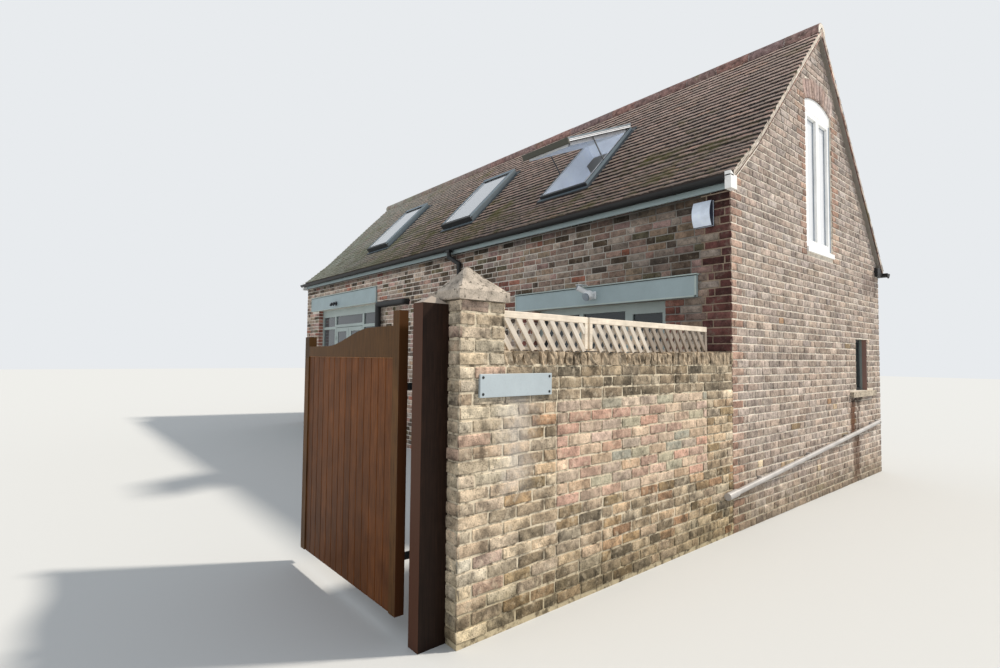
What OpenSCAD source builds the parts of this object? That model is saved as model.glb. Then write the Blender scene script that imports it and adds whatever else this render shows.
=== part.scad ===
// Brick oast house outbuilding with an attached yard wall, pier and boarded gate.
// Millimetres, Z up, ground at z = 0, +X along the long front to the right
// gable, +Y from the front to the back. The origin is the centre of the
// house footprint. Inside in_place() the numbers are counted from the front
// right corner of the house: x is negative to the left, y positive to the
// back, and the yard wall runs forward from that corner to negative y.

/* [House] */
// length of the house along the front
house_len = 10630; // [8000:10:13000]
// depth of the house across the gable
house_dep = 4430; // [3600:10:5600]
// thickness of the outer walls
wall_t = 300; // [215:5:350]
// thickness of the ground floor
slab_h = 100; // [80:5:200]
// underside of the upper floor
upper_z = 2640; // [2400:10:2900]
// thickness of the upper floor
upper_h = 160; // [120:10:220]

/* [Roof] */
// height of the tiles at the ridge
ridge_z = 5640; // [5000:10:6400]
// height of the tile edge over the front eaves
foot_z = 3355; // [3000:5:3600]
// distance from the front to where the slope eases off
kick_y = 450; // [300:10:550]
// height of the tiles where the slope eases off
kick_z = 3795; // [3500:5:4100]
// rise over run of the back slope
back_tan = 1.2; // [0.9:0.01:1.3]
// overhang of the tiles at both eaves
eave_out = 55; // [30:5:120]
// overhang of the tiles at both gables
verge_out = 60; // [20:5:150]
// distance from one tile course to the next along y
course_y = 72; // [60:1:110]
// height of the step at each tile course
course_step = 14; // [8:1:25]
// depth of tiles, battens and mortar, measured straight down
tile_h = 60; // [40:5:90]
// depth of the rafters and lining, measured straight down
rafter_h = 180; // [120:5:260]
// radius of the half round ridge tiles
ridge_r = 115; // [90:1:150]
// height of the ridge tiles over the roof tiles
ridge_up = 65; // [40:5:100]

/* [Rooflights] */
// width of a rooflight frame
light_w = 850; // [550:10:1340]
// length of a rooflight frame up the slope
light_l = 1430; // [980:10:1600]
// width of the flashing around a rooflight
flash_w = 60; // [40:5:120]
// thickness of the flashing
flash_h = 20; // [8:1:30]
// distance of the rooflight middles from the right end
light_x = [2610, 5090, 7970];
// distance of the rooflight middles behind the front
light_y = 1000; // [950:10:1200]
// height of the curb over the tiles
curb_up = 60; // [40:5:100]
// wall of the curb
curb_t = 45; // [30:1:60]
// height of the sash
sash_h = 45; // [30:1:70]
// width of the sash members
sash_w = 70; // [45:1:90]
// angle of the sash that stands open
sash_open = 23; // [0:1:40]
// thickness of rooflight glass
pane_t = 24; // [6:1:30]

/* [Gable window] */
// distance from the front corner to the near jamb
arch_y = 1800; // [1500:10:2200]
// width of the arched opening
arch_w = 830; // [500:10:1200]
// height of the window bottom
arch_z = 2860; // [2820:10:3200]
// height where the arch begins
spring_z = 4670; // [4200:10:4800]
// rise of the arch
arch_rise = 85; // [40:5:200]
// height of the arch bricks
arch_brick = 215; // [100:5:225]
// setback of the frames from the outer face
gable_set = 20; // [0:5:120]

/* [Front openings] */
// distance from the left end of the house to the door opening
door_in = 720; // [500:10:900]
// width of the door opening
door_w = 2810; // [2600:10:3000]
// width of the fixed light on each side, with its mullion
side_w = 685; // [500:5:760]
// head of the door opening
door_head = 2630; // [2300:10:2640]
// left edge of the window opening
win_l = 2650; // [2300:10:3000]
// right edge of the window opening
win_r = 700; // [500:10:900]
// bottom of the window opening
win_z = 950; // [800:10:1200]
// head of the window opening
win_head = 2210; // [2000:10:2400]
// height of the board over the doors
lintel_door_h = 310; // [200:10:340]
// height of the board over the window
lintel_win_h = 220; // [150:10:300]
// thickness of both boards
lintel_t = 35; // [20:1:50]
// setback of the front frames
front_set = 100; // [40:5:140]
// depth of the front frames
frame_d = 70; // [50:5:100]
// gap around the swinging door leaves
door_gap = 10; // [8:1:14]
// thickness of the door leaves
leaf_t = 45; // [35:1:60]
// thickness of the glass in the front
glass_t = 24; // [4:1:30]

/* [Yard wall and gate] */
// length of the yard wall forward of the house
yard_len = 2800; // [2000:10:4000]
// thickness of the yard wall
yard_t = 225; // [200:5:330]
// height of the yard wall without its coping
yard_z = 1560; // [1200:10:1800]
// height of the brick coping
coping_h = 100; // [60:5:120]
// side of the square pier along x
pier_w = 225; // [200:5:450]
// side of the pier along y
pier_d = 320; // [300:5:450]
// height of the pier under its cap
pier_z = 1920; // [1600:10:2200]
// overhang of the pier cap
cap_out = 30; // [10:5:60]
// upright edge of the pier cap
cap_edge = 60; // [30:5:100]
// full height of the pier cap
cap_h = 215; // [150:5:320]
// length of the gate leaf
gate_l = 1470; // [1200:10:2000]
// thickness of the gate frame
gate_t = 60; // [45:1:80]
// gap under the gate
gate_z = 110; // [60:5:180]
// distance of the gate hinge edge from the wall face
gate_x = 340; // [300:5:400]

/* [Hidden] */
$fn = 48;
eps = 0.01;
ridge_y = house_dep/2;
kick_tan = (kick_z - foot_z)/(kick_y + eave_out);
front_tan = (ridge_z - kick_z)/(ridge_y - kick_y);
front_deg = atan(front_tan);
x_in_r = -wall_t;
x_in_l = -house_len + wall_t;
y_in_f = wall_t;
y_in_b = house_dep - wall_t;
beam_fill = 100;
// bedding gap between the roof and what carries it
bed = 0.05;
arch_m = arch_y + arch_w/2;
arch_r = (pow(arch_w/2, 2) + pow(arch_rise, 2))/(2*arch_rise);
arch_c = spring_z + arch_rise - arch_r;
arch_a = asin(arch_w/2/arch_r);
light_z = kick_z + (light_y - kick_y)*front_tan;
yard_front = -yard_len;
pier_front = yard_front - pier_d;
gate_face = pier_front - 190;
post_t = 100;
post_x = -105;
post_d = 180;
pin_x = -230;
pin_y = pier_front - 90;
leaf_z = 138;
trans_z = 2225;
mull_w = 70;
door_l = house_len - door_in;
door_r = door_l - door_w;
mull_l = door_l - side_w;
mull_r = door_r + side_w;
leaf_w = (mull_l - mull_r - 2*mull_w - 3*door_gap)/2;
leaf_h = trans_z - leaf_z - door_gap;

// moves from the front right corner of the house to the row frame
module in_place() {
  translate([house_len/2, -house_dep/2, 0]) children();
}

// box between two corners
module block(a, b) {
  translate(a) cube([b[0]-a[0], b[1]-a[1], b[2]-a[2]]);
}

// top of the tile line over the point y
function top_z(y) =
  y < kick_y ? foot_z + (y + eave_out)*kick_tan :
  y < ridge_y ? kick_z + (y - kick_y)*front_tan :
  ridge_z - (y - ridge_y)*back_tan;

// extrudes a y-z drawing along x from x0 to x1
module along_x(x0, x1) {
  translate([x0, 0, 0]) rotate([90, 0, 90])
    linear_extrude(height = x1 - x0) children();
}

// saw-tooth top of the tile courses between two y values, dir 1 = rising
function teeth(y0, y1, n, up) = [for (i = [0:n-1], k = [0, 1])
  let (a = y0 + (y1 - y0)*i/n, b = y0 + (y1 - y0)*(i + 1)/n)
  k == 0 ? [a, top_z(a) + (up ? course_step : 0)]
         : [b - (up ? eps : -eps), top_z(b) + (up ? 0 : course_step)]];

module front_tiles_2d() {
  n0 = round((kick_y + eave_out)/course_y);
  n1 = round((ridge_y - kick_y)/course_y);
  polygon(concat(
    [[-eave_out, foot_z - tile_h]],
    teeth(-eave_out, kick_y, n0, true),
    teeth(kick_y, ridge_y - eps, n1, true),
    [[ridge_y, ridge_z], [ridge_y, ridge_z - tile_h],
     [kick_y, kick_z - tile_h]]));
}

module back_tiles_2d() {
  yb = house_dep + eave_out;
  n = round((yb - ridge_y)/(course_y*0.95));
  polygon(concat(
    [[ridge_y, ridge_z - tile_h], [ridge_y, ridge_z]],
    teeth(ridge_y, yb, n, false),
    [[yb, top_z(yb) - tile_h]]));
}

// rafters and lining, front or back, down from the tile layer
module front_rafters_2d() {
  a = beam_fill; d1 = tile_h - 5; d2 = tile_h + rafter_h;
  polygon([[a, top_z(a) - d1], [kick_y, kick_z - d1], [ridge_y, ridge_z - d1],
    [ridge_y, ridge_z - d2], [kick_y, kick_z - d2], [a, top_z(a) - d2]]);
}
module back_rafters_2d() {
  b = house_dep - beam_fill; d1 = tile_h - 5; d2 = tile_h + rafter_h;
  polygon([[ridge_y, ridge_z - d1], [b, top_z(b) - d1],
    [b, top_z(b) - d2], [ridge_y, ridge_z - d2]]);
}

// places a child on the front slope at rooflight i: x across, y up the slope
module on_slope(i) {
  translate([-light_x[i], light_y, light_z]) rotate([front_deg, 0, 0])
    children();
}
module centred(w, l, z0, z1) {
  translate([-w/2, -l/2, z0]) cube([w, l, z1 - z0]);
}
module ring(w, l, t, z0, z1) {
  difference() {
    centred(w, l, z0, z1);
    centred(w - 2*t, l - 2*t, z0 - 1, z1 + 1);
  }
}
module rooflight_cuts() {
  for (i = [0:2]) on_slope(i) {
    centred(light_w, light_l, -400, 400);
    centred(light_w + 2*flash_w, light_l + 2*flash_w, 0, 100);
  }
}

module roof_front() color("#6d5650") in_place() difference() {
  union() {
    along_x(-house_len - verge_out, verge_out) front_tiles_2d();
    along_x(x_in_l, x_in_r) front_rafters_2d();
  }
  rooflight_cuts();
}
module roof_back() color("#6d5650") in_place() {
  along_x(-house_len - verge_out, verge_out) back_tiles_2d();
  along_x(x_in_l, x_in_r) back_rafters_2d();
}
module ridge() color("#7d5f5e") in_place() {
  along_x(-house_len - verge_out, verge_out) difference() {
    intersection() {
      translate([ridge_y, ridge_z + ridge_up - ridge_r]) union() {
        circle(r = ridge_r);
        translate([-ridge_r, -ridge_r]) square([2*ridge_r, ridge_r]);
      }
      polygon([[ridge_y - 2*ridge_r, ridge_z + 2*ridge_r],
        [ridge_y + 2*ridge_r, ridge_z + 2*ridge_r],
        [ridge_y + 2*ridge_r, top_z(ridge_y + 2*ridge_r)],
        [ridge_y, ridge_z], [ridge_y - 2*ridge_r, top_z(ridge_y - 2*ridge_r)]]);
    }
    front_tiles_2d();
    back_tiles_2d();
  }
}
// mortar and undercloak below the tiles that pass the gables
verge_h = 45;
module verge_2d() {
  yb = house_dep + 20;
  d = tile_h + bed;
  e = tile_h + verge_h;
  polygon([[-20, top_z(-20) - d], [kick_y, kick_z - d],
    [ridge_y, ridge_z - d], [yb, top_z(yb) - d],
    [yb, top_z(yb) - e], [ridge_y, ridge_z - e],
    [kick_y, kick_z - e], [-20, top_z(-20) - e]]);
}
module verges() color("#c9bfa9") in_place() {
  along_x(0, verge_out - 12) verge_2d();
  along_x(-house_len - verge_out + 12, -house_len) verge_2d();
}

module gable_2d() {
  d = tile_h + bed;
  polygon([[0, 0], [house_dep, 0], [house_dep, top_z(house_dep) - d],
    [ridge_y, ridge_z - d], [kick_y, kick_z - d], [0, top_z(0) - d]]);
}
module arch_hole_2d() {
  translate([arch_y, arch_z]) square([arch_w, spring_z - arch_z + eps]);
  intersection() {
    translate([arch_m, arch_c]) circle(r = arch_r, $fn = 180);
    translate([arch_y, spring_z]) square([arch_w, arch_rise + eps]);
  }
}
module arch_ring_2d() {
  far = arch_r*2;
  intersection() {
    translate([arch_m, arch_c]) difference() {
      circle(r = arch_r + arch_brick, $fn = 180);
      circle(r = arch_r, $fn = 180);
    }
    polygon([[arch_m, arch_c],
      [arch_m - far*sin(arch_a), arch_c + far*cos(arch_a)],
      [arch_m + far*sin(arch_a), arch_c + far*cos(arch_a)]]);
  }
}
small_y0 = 3410;
small_y1 = 3880;
small_z0 = 1190;
small_z1 = 1890;
module gable_right() color("#a08a6c") in_place() along_x(-wall_t, 0)
  difference() {
    gable_2d();
    arch_hole_2d();
    arch_ring_2d();
    translate([small_y0, small_z0])
      square([small_y1 - small_y0, small_z1 - small_z0]);
  }
module gable_left() color("#a08a6c") in_place()
  along_x(-house_len, -house_len + wall_t) difference() {
    gable_2d();
    arch_hole_2d();
    arch_ring_2d();
  }
module arch_right() color("#9a5a4a") in_place() along_x(-wall_t, 0)
  arch_ring_2d();
module arch_left() color("#9a5a4a") in_place()
  along_x(-house_len, -house_len + wall_t) arch_ring_2d();

// frame of a gable window: arched outside, two lights, sill at the foot
gw_jamb = 105;
gw_mid = 96;
gw_head = spring_z - 180;
sill_h = 55;
gw_foot = arch_z + sill_h + 95;
module gable_lights_2d() {
  w = (arch_w - 2*gw_jamb - gw_mid)/2;
  for (y = [arch_y + gw_jamb, arch_y + arch_w - gw_jamb - w])
    translate([y, gw_foot]) square([w, gw_head - gw_foot]);
}
module gable_frame_2d() difference() {
  arch_hole_2d();
  gable_lights_2d();
}
gw_t = 65;
// depth of the glass behind the face of the frame
gw_rebate = 24;
module gable_window_right() color("#f2f2f0") in_place() {
  along_x(-gable_set - gw_t, -gable_set) gable_frame_2d();
  block([-gable_set - eps, arch_y, arch_z],
        [25, arch_y + arch_w, arch_z + sill_h]);
}
module gable_window_left() color("#f2f2f0") in_place() {
  along_x(-house_len + gable_set, -house_len + gable_set + gw_t)
    gable_frame_2d();
  block([-house_len - 25, arch_y, arch_z],
        [-house_len + gable_set + eps, arch_y + arch_w, arch_z + sill_h]);
}
module gable_glass_right() color("#9fb4bd") in_place()
  along_x(-gable_set - gw_rebate - glass_t, -gable_set - gw_rebate)
    gable_lights_2d();
module gable_glass_left() color("#9fb4bd") in_place()
  along_x(-house_len + gable_set + gw_rebate,
    -house_len + gable_set + gw_rebate + glass_t) gable_lights_2d();

module small_window() color("#2c2a27") in_place() {
  d = 110; t = 50;
  difference() {
    block([-d - t, small_y0, small_z0], [-d, small_y1, small_z1]);
    block([-d - 20, small_y0 + 40, small_z0 + 40],
          [-d + 1, small_y1 - 40, small_z1 - 40]);
  }
  block([-d - 21, (small_y0 + small_y1)/2 - 12, small_z0 + 39],
        [-d, (small_y0 + small_y1)/2 + 12, small_z1 - 39]);
}
module small_window_sill() color("#c8bfa8") in_place()
  block([0, 3170, small_z0 - 75], [45, 4120, small_z0 - 5]);

// front wall section between two distances from the right end
module front_2d() polygon([[0, 0], [wall_t, 0],
  [wall_t, top_z(wall_t) - tile_h - rafter_h - bed],
  [beam_fill - bed, top_z(beam_fill) - tile_h - rafter_h - bed],
  [beam_fill - bed, top_z(beam_fill) - tile_h - bed],
  [0, top_z(0) - tile_h - bed]]);
module front_part(xl, xr, z0, z1) intersection() {
  along_x(xl, xr) front_2d();
  block([xl, -10, z0], [xr, wall_t + 10, z1]);
}
module wall_front_left() color("#8a6a58") in_place()
  front_part(x_in_l, -door_l, 0, 9000);
module wall_over_door() color("#8a6a58") in_place()
  front_part(-door_l, -door_r, door_head, 9000);
module wall_front_mid() color("#8a6a58") in_place()
  front_part(-door_r, -win_l, 0, 9000);
module wall_over_window() color("#8a6a58") in_place()
  front_part(-win_l, -win_r, win_head, 9000);
module wall_under_window() color("#8a6a58") in_place()
  front_part(-win_l, -win_r, 0, win_z);
module wall_front_right() color("#8a6a58") in_place()
  front_part(-win_r, x_in_r, 0, 9000);
module wall_back() color("#8a6a58") in_place() along_x(x_in_l, x_in_r) {
  b = house_dep; i = house_dep - beam_fill + bed; j = y_in_b;
  polygon([[j, 0], [b, 0], [b, top_z(b) - tile_h - bed],
    [i, top_z(i) - tile_h - bed], [i, top_z(i) - tile_h - rafter_h - bed],
    [j, top_z(j) - tile_h - rafter_h - bed]]);
}
module floor_slab() color("#8b8a86") in_place()
  block([x_in_l, y_in_f, 0], [x_in_r, y_in_b, slab_h]);
module floor_upper() color("#b0997a") in_place()
  block([x_in_l, y_in_f, upper_z], [x_in_r, y_in_b, upper_z + upper_h]);

// rooflights: flashing, curb and sash
module rooflight_base(i) on_slope(i) {
  ring(light_w + 2*flash_w, light_l + 2*flash_w, flash_w + curb_t, 0, flash_h);
  ring(light_w, light_l, curb_t, -(tile_h + rafter_h)*cos(front_deg), curb_up);
}
module sash() ring(light_w, light_l, sash_w, curb_up, curb_up + sash_h);
// the open sash turns about its top edge, a small gap over the curb
swing_gap = 3;
module swung() translate([0, light_l/2, curb_up + swing_gap])
  rotate([-sash_open, 0, 0]) translate([0, -light_l/2, -curb_up]) children();
// stays of the open sash: foot on the curb, head in the sash, across the slope
stay_t = 12;
stay_v = -150;
stay_n = curb_up - 20;
stay_reach = 900;
stay_end = [light_l/2 - stay_reach*cos(sash_open),
            curb_up + stay_reach*sin(sash_open) + 12];
module rooflight_1() color("#8f9aa2") in_place() {
  rooflight_base(0);
  on_slope(0) {
    swung() sash();
    // hinge blocks and stays
    for (s = [-1, 1]) {
      translate([s*(light_w/2 - 80) - 30, light_l/2 - 16, curb_up - 12])
        cube([60, 24, 24]);
      translate([s*(light_w/2 - curb_t/2) - stay_t/2, stay_v, stay_n])
        rotate([-atan2(stay_end[0] - stay_v, stay_end[1] - stay_n), 0, 0])
          cube([stay_t, stay_t, norm(stay_end - [stay_v, stay_n])]);
    }
  }
}
module rooflight_2() color("#8f9aa2") in_place() {
  rooflight_base(1);
  on_slope(1) sash();
}
module rooflight_3() color("#8f9aa2") in_place() {
  rooflight_base(2);
  on_slope(2) sash();
}
module pane() centred(light_w - 2*sash_w, light_l - 2*sash_w,
  curb_up + 10, curb_up + 10 + pane_t);
module rooflight_glass_1() color("#aebfc8") in_place() on_slope(0)
  swung() pane();
module rooflight_glass_2() color("#aebfc8") in_place() on_slope(1) pane();
module rooflight_glass_3() color("#aebfc8") in_place() on_slope(2) pane();

// eaves
fascia_t = 30;
fascia_h = 100;
fascia_gap = 5;
fascia_f = top_z(-fascia_t) - tile_h - fascia_gap;
fascia_b = top_z(house_dep + fascia_t) - tile_h - fascia_gap;
module fascia_front() color("#8a9ba0") in_place() {
  block([-house_len, -fascia_t, fascia_f - fascia_h], [0, 0, fascia_f]);
  block([0, -2*fascia_t, fascia_f - fascia_h], [verge_out - 5, 0, fascia_f - 36]);
}
module fascia_back() color("#8a9ba0") in_place()
  block([-house_len, house_dep, fascia_b - fascia_h],
        [0, house_dep + fascia_t, fascia_b]);
gut_r = 56;
gut_t = 4;
module half_gutter() difference() {
  circle(r = gut_r, $fn = 40);
  circle(r = gut_r - gut_t, $fn = 40);
  translate([-gut_r - 1, 0]) square([2*gut_r + 2, gut_r + 1]);
}
rim_f = fascia_f - 3;
rim_b = fascia_b - 3;
gut_gap = 2;
gut_y = fascia_t + gut_r + gut_gap;
// stop ends stay below the tiles that dip into the gutter
tile_dip = 24;
module gutter_ends(x0, x1, y, z) {
  for (x = [x0, x1 - gut_t]) along_x(x, x + gut_t)
    translate([y, z]) intersection() {
      circle(r = gut_r - 1, $fn = 40);
      translate([-gut_r, -gut_r]) square([2*gut_r, gut_r - tile_dip]);
    }
}
arm_n = 10;
arm_w = 25;
arm_in = 350;
arm_in_right = 560;
module gutter_arms(y, face, z, x0, x1) {
  for (k = [0:arm_n - 1]) let (x = x0 + k*(x1 - x0)/(arm_n - 1)) along_x(x, x + arm_w)
    translate([y, z]) {
      difference() {
        circle(r = gut_r + gut_gap, $fn = 40);
        circle(r = gut_r - 0.5, $fn = 40);
        translate([-gut_r - 9, 0]) square([2*gut_r + 18, gut_r + 9]);
      }
      translate([face > 0 ? gut_r - 3 : -gut_r - 2, -26]) square([5, 26]);
    }
}
down_x = -4290;
out_x = -4500;
pipe_r = 34;
// swan necks: drop below the gutter, and the heights where they end
neck_drop = 95;
neck_f = rim_f - 278;
neck_b = rim_b - 278;
pipe_foot = 60;
// the front gutter stops short of the boxed end of the fascia
gut_stop = -2;
// the back gutter runs past both gables
gut_over = 120;
module gutter_front() color("#1d1f20") in_place() {
  along_x(-house_len - 150, gut_stop) translate([-gut_y, rim_f]) half_gutter();
  gutter_ends(-house_len - 150, gut_stop, -gut_y, rim_f);
  gutter_arms(-gut_y, 1, rim_f, -house_len + arm_in, -arm_in_right);
  y1 = -pipe_r - 12;
  outlet(out_x, -gut_y, rim_f - gut_r, neck_drop);
  bend([out_x, -gut_y, rim_f - gut_r - neck_drop], [down_x, y1, neck_f]);
  translate([down_x, y1, pipe_foot])
    cylinder(h = neck_f + 2 - pipe_foot, r = pipe_r, $fn = 24);
  for (z = [500, 1600, 2700]) block([down_x - 45, y1, z], [down_x + 45, 0, z + 30]);
}
// round pipe between two points, with an elbow at each
module bend(a, b) {
  d = b - a; l = norm(d);
  translate(a) rotate([0, acos(d[2]/l), atan2(d[1], d[0])])
    cylinder(h = l, r = pipe_r, $fn = 24);
  for (q = [a, b]) translate(q) sphere(r = pipe_r + 5, $fn = 32);
}
// square gutter outlet with a stub of pipe below it
module outlet(x, y, z, drop) {
  block([x - 45, y - 38, z - 20], [x + 45, y + 38, z + 12]);
  translate([x, y, z - drop]) cylinder(h = drop - 10, r = pipe_r, $fn = 24);
}
module gutter_back() color("#1d1f20") in_place() {
  yb = house_dep + gut_y;
  along_x(-house_len - gut_over, gut_over) translate([yb, rim_b]) half_gutter();
  gutter_ends(-house_len - gut_over, gut_over, yb, rim_b);
  gutter_arms(yb, -1, rim_b, -house_len, -arm_w);
  y1 = house_dep + pipe_r + 12;
  outlet(out_x, yb, rim_b - gut_r, neck_drop);
  bend([out_x, yb, rim_b - gut_r - neck_drop], [down_x, y1, neck_b]);
  translate([down_x, y1, pipe_foot])
    cylinder(h = neck_b + 2 - pipe_foot, r = pipe_r, $fn = 24);
  for (z = [500, 1400, 2300])
    block([down_x - 45, house_dep, z], [down_x + 45, y1, z + 30]);
}
flue_x = -5040;
flue_r = 40;
flue_back = 230;
flue_up = 420;
module flue() color("#2a2a2c") in_place() {
  y = ridge_y + flue_back; x = flue_x;
  difference() {
    translate([x, y, top_z(y) - 90]) cylinder(h = flue_up + 90, r = flue_r, $fn = 32);
    along_x(x - 100, x + 100) back_tiles_2d();
    along_x(x - 100, x + 100) back_rafters_2d();
    along_x(x - 100, x + 100) translate([ridge_y, ridge_z + ridge_up - ridge_r])
      circle(r = ridge_r);
  }
  translate([x, y, top_z(y) + flue_up - 60]) cylinder(h = 48, r = flue_r + 6, $fn = 32);
}

module lintel_door() color("#8a9ba0") in_place()
  block([-door_l - 390, -lintel_t, door_head],
        [-door_r + 70, 0, door_head + lintel_door_h]);
module lintel_window() color("#8a9ba0") in_place()
  block([-win_l - 340, -lintel_t, win_head],
        [-win_r + 364, 0, win_head + lintel_win_h]);

// screen of fixed lights around the pair of doors
frame_e = 60;
door_sill = 30;
side_t0 = 2190;
// head of the lights over the doors
top_lights = 2470;
function spans(z0, z1) = [
  [-door_l + frame_e, -mull_l, z0, z1], [-mull_r, -door_r - frame_e, z0, z1]];
module door_lights(y0, y1) {
  for (s = concat(spans(slab_h + door_sill + 500, side_t0),
                  spans(side_t0 + frame_e, top_lights)))
    block([s[0], y0, s[2]], [s[1], y1, s[3]]);
  block([-mull_l + mull_w, y0, trans_z + frame_e], [-mull_r - mull_w, y1, top_lights]);
}
module door_frame() color("#a8b8b0") in_place() {
  difference() {
    block([-door_l, front_set, slab_h],
          [-door_r, front_set + frame_d, door_head]);
    door_lights(front_set - 1, front_set + frame_d + 1);
    block([-mull_l + mull_w, front_set - 1, slab_h + door_sill],
          [-mull_r - mull_w, front_set + frame_d + 1, trans_z]);
  }
  for (s = [-1, 1], z = knuckle_zs) {
    block_sorted([pivot_x(s), pivot_y - 3, z],
                 [pivot_x(s) + s*door_gap/2, front_set + 12, z + knuckle_h]);
    translate([pivot_x(s), pivot_y, z]) cylinder(h = knuckle_h, r = knuckle_r);
    translate([pivot_x(s), pivot_y, z]) cylinder(h = 2*knuckle_h, r = pin_r);
  }
}
// hinge knuckles: s = -1 for the left leaf, 1 for the right leaf
knuckle_r = 8;
knuckle_h = 40;
knuckle_zs = [340, 1130, 1950];
pin_r = 4;
run_gap = 0.3;
pivot_y = front_set - knuckle_r;
function pivot_x(s) = s < 0 ? -mull_l + mull_w + door_gap/2
                            : -mull_r - mull_w - door_gap/2;
module block_sorted(a, b) {
  block([min(a[0], b[0]), a[1], a[2]], [max(a[0], b[0]), b[1], b[2]]);
}
module leaf_knuckles(s) {
  for (z = knuckle_zs) difference() {
    union() {
      translate([pivot_x(s), pivot_y, z + knuckle_h + run_gap])
        cylinder(h = knuckle_h, r = knuckle_r);
      block_sorted([pivot_x(s), pivot_y - 3, z + knuckle_h + run_gap],
        [pivot_x(s) - s*door_gap/2, front_set + 12, z + 2*knuckle_h + run_gap]);
    }
    translate([pivot_x(s), pivot_y, z])
      cylinder(h = 3*knuckle_h, r = pin_r + run_gap);
  }
}
module door_frame_glass() color("#9fb4bd") in_place()
  door_lights(front_set + 23, front_set + 23 + glass_t);
stile_h = 85;
stile_m = 110;
rail_b = 220;
rail_t = 85;
module leaf_hole(x, left, y0, y1) {
  a = left ? stile_h : stile_m;
  b = left ? stile_m : stile_h;
  block([x + a, y0, leaf_z + rail_b],
        [x + leaf_w - b, y1, leaf_z + leaf_h - rail_t]);
}
leaf_xl = -mull_l + mull_w + door_gap;
leaf_xr = leaf_xl + leaf_w + door_gap;
module leaf(x, left) difference() {
  block([x, front_set, leaf_z], [x + leaf_w, front_set + leaf_t, leaf_z + leaf_h]);
  leaf_hole(x, left, front_set - 1, front_set + leaf_t + 1);
}
module door_leaf_left() color("#a8b8b0") in_place() {
  leaf(leaf_xl, true);
  leaf_knuckles(-1);
}
module door_leaf_right() color("#a8b8b0") in_place() {
  leaf(leaf_xr, false);
  leaf_knuckles(1);
}
module door_glass_left() color("#9fb4bd") in_place()
  leaf_hole(leaf_xl, true, front_set + 10, front_set + 10 + glass_t);
module door_glass_right() color("#9fb4bd") in_place()
  leaf_hole(leaf_xr, false, front_set + 10, front_set + 10 + glass_t);

win_e = 60;
win_mull = [1930, 1250];
module window_lights(y0, y1) {
  xs = [[-win_l + win_e, -win_mull[0] - 30], [-win_mull[0] + 30, -win_mull[1] - 30],
        [-win_mull[1] + 70, -win_r - win_e - 40]];
  for (i = [0:2]) block([xs[i][0], y0, win_z + win_e + (i == 2 ? 40 : 0)],
    [xs[i][1], y1, win_head - 80 - (i == 2 ? 40 : 0)]);
}
module window_frame() color("#a8b8b0") in_place() difference() {
  block([-win_l, front_set, win_z], [-win_r, front_set + frame_d, win_head]);
  window_lights(front_set - 1, front_set + frame_d + 1);
}
module window_glass() color("#9fb4bd") in_place()
  window_lights(front_set + 23, front_set + 23 + glass_t);
module window_sill() color("#c8bfa8") in_place()
  block([-win_l, -45, win_z], [-win_r, front_set, win_z + 40]);

// pipes and small fittings
module waste_pipe() color("#d8d4c8") in_place() {
  a = [45, -40, 385]; b = [45, 4180, 734]; d = b - a; l = norm(d);
  translate(a) rotate([0, acos(d[2]/l), atan2(d[1], d[0])])
    cylinder(h = l, r = 26, $fn = 24);
  translate([a[0], -190, a[2] - 12.5]) rotate([0, acos(d[2]/l), atan2(d[1], d[0])])
    cylinder(h = 170, r = 34, $fn = 24);
  translate([b[0], b[1], b[2]]) sphere(r = 34, $fn = 24);
  translate([0, b[1], b[2]]) rotate([0, 90, 0]) cylinder(h = 45, r = 30, $fn = 24);
  for (y = [500, 1700, 2900, 3900]) {
    z = a[2] + (y - a[1])*d[2]/d[1];
    block([0, y - 12, z - 34], [45, y + 12, z + 34]);
  }
}
soil_x = -door_r + 270;
soil_in = soil_x + 970;
soil_r = 55;
soil_y = -85;
soil_z = 2565;
module soil_pipe() color("#1d1f20") in_place() {
  translate([soil_x, soil_y, 0]) cylinder(h = soil_z, r = soil_r, $fn = 32);
  translate([soil_x, soil_y, soil_z]) sphere(r = soil_r, $fn = 32);
  translate([soil_x, soil_y, soil_z]) rotate([0, 90, 0])
    cylinder(h = soil_in - soil_x, r = soil_r, $fn = 32);
  translate([soil_in, soil_y, soil_z]) sphere(r = soil_r, $fn = 32);
  translate([soil_in, soil_y, soil_z]) rotate([-90, 0, 0])
    cylinder(h = -soil_y, r = soil_r, $fn = 32);
  for (z = [700, 1900]) block([soil_x - 70, soil_y, z], [soil_x + 70, 0, z + 40]);
}
alarm_x = -257;
alarm_w = 194;
alarm_z = 2880;
alarm_h = 250;
alarm_d = 90;
alarm_r = 250;
module alarm_box() color("#e4ecf2") in_place() intersection() {
  block([alarm_x - alarm_w/2, -alarm_d, alarm_z],
        [alarm_x + alarm_w/2, 0, alarm_z + alarm_h]);
  translate([alarm_x, alarm_r - alarm_d, alarm_z - 10])
    cylinder(h = alarm_h + 20, r = alarm_r, $fn = 96);
}
lamp_x = -1735;
lamp_z = win_head + 170;
lamp_r = 48;
lamp_l = 125;
lamp_tilt = 60;
lamp_foot = 60;
door_lamp_x = -8860;
door_lamp_r = 60;
module lamps() color("#e6e6e2") in_place() {
  // bracket light on the window lintel and round lamp on the door lintel
  block([lamp_x - 32, -lintel_t - lamp_foot, lamp_z - 30],
        [lamp_x + 32, -lintel_t, lamp_z + 30]);
  translate([lamp_x, -lintel_t - lamp_foot + 12, lamp_z - 4]) rotate([lamp_tilt, 0, 0])
    cylinder(h = lamp_l, r = lamp_r, $fn = 32);
  translate([door_lamp_x, -lintel_t, door_head + 98]) rotate([90, 0, 0])
    cylinder(h = door_lamp_r, r = door_lamp_r, $fn = 32);
}

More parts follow.
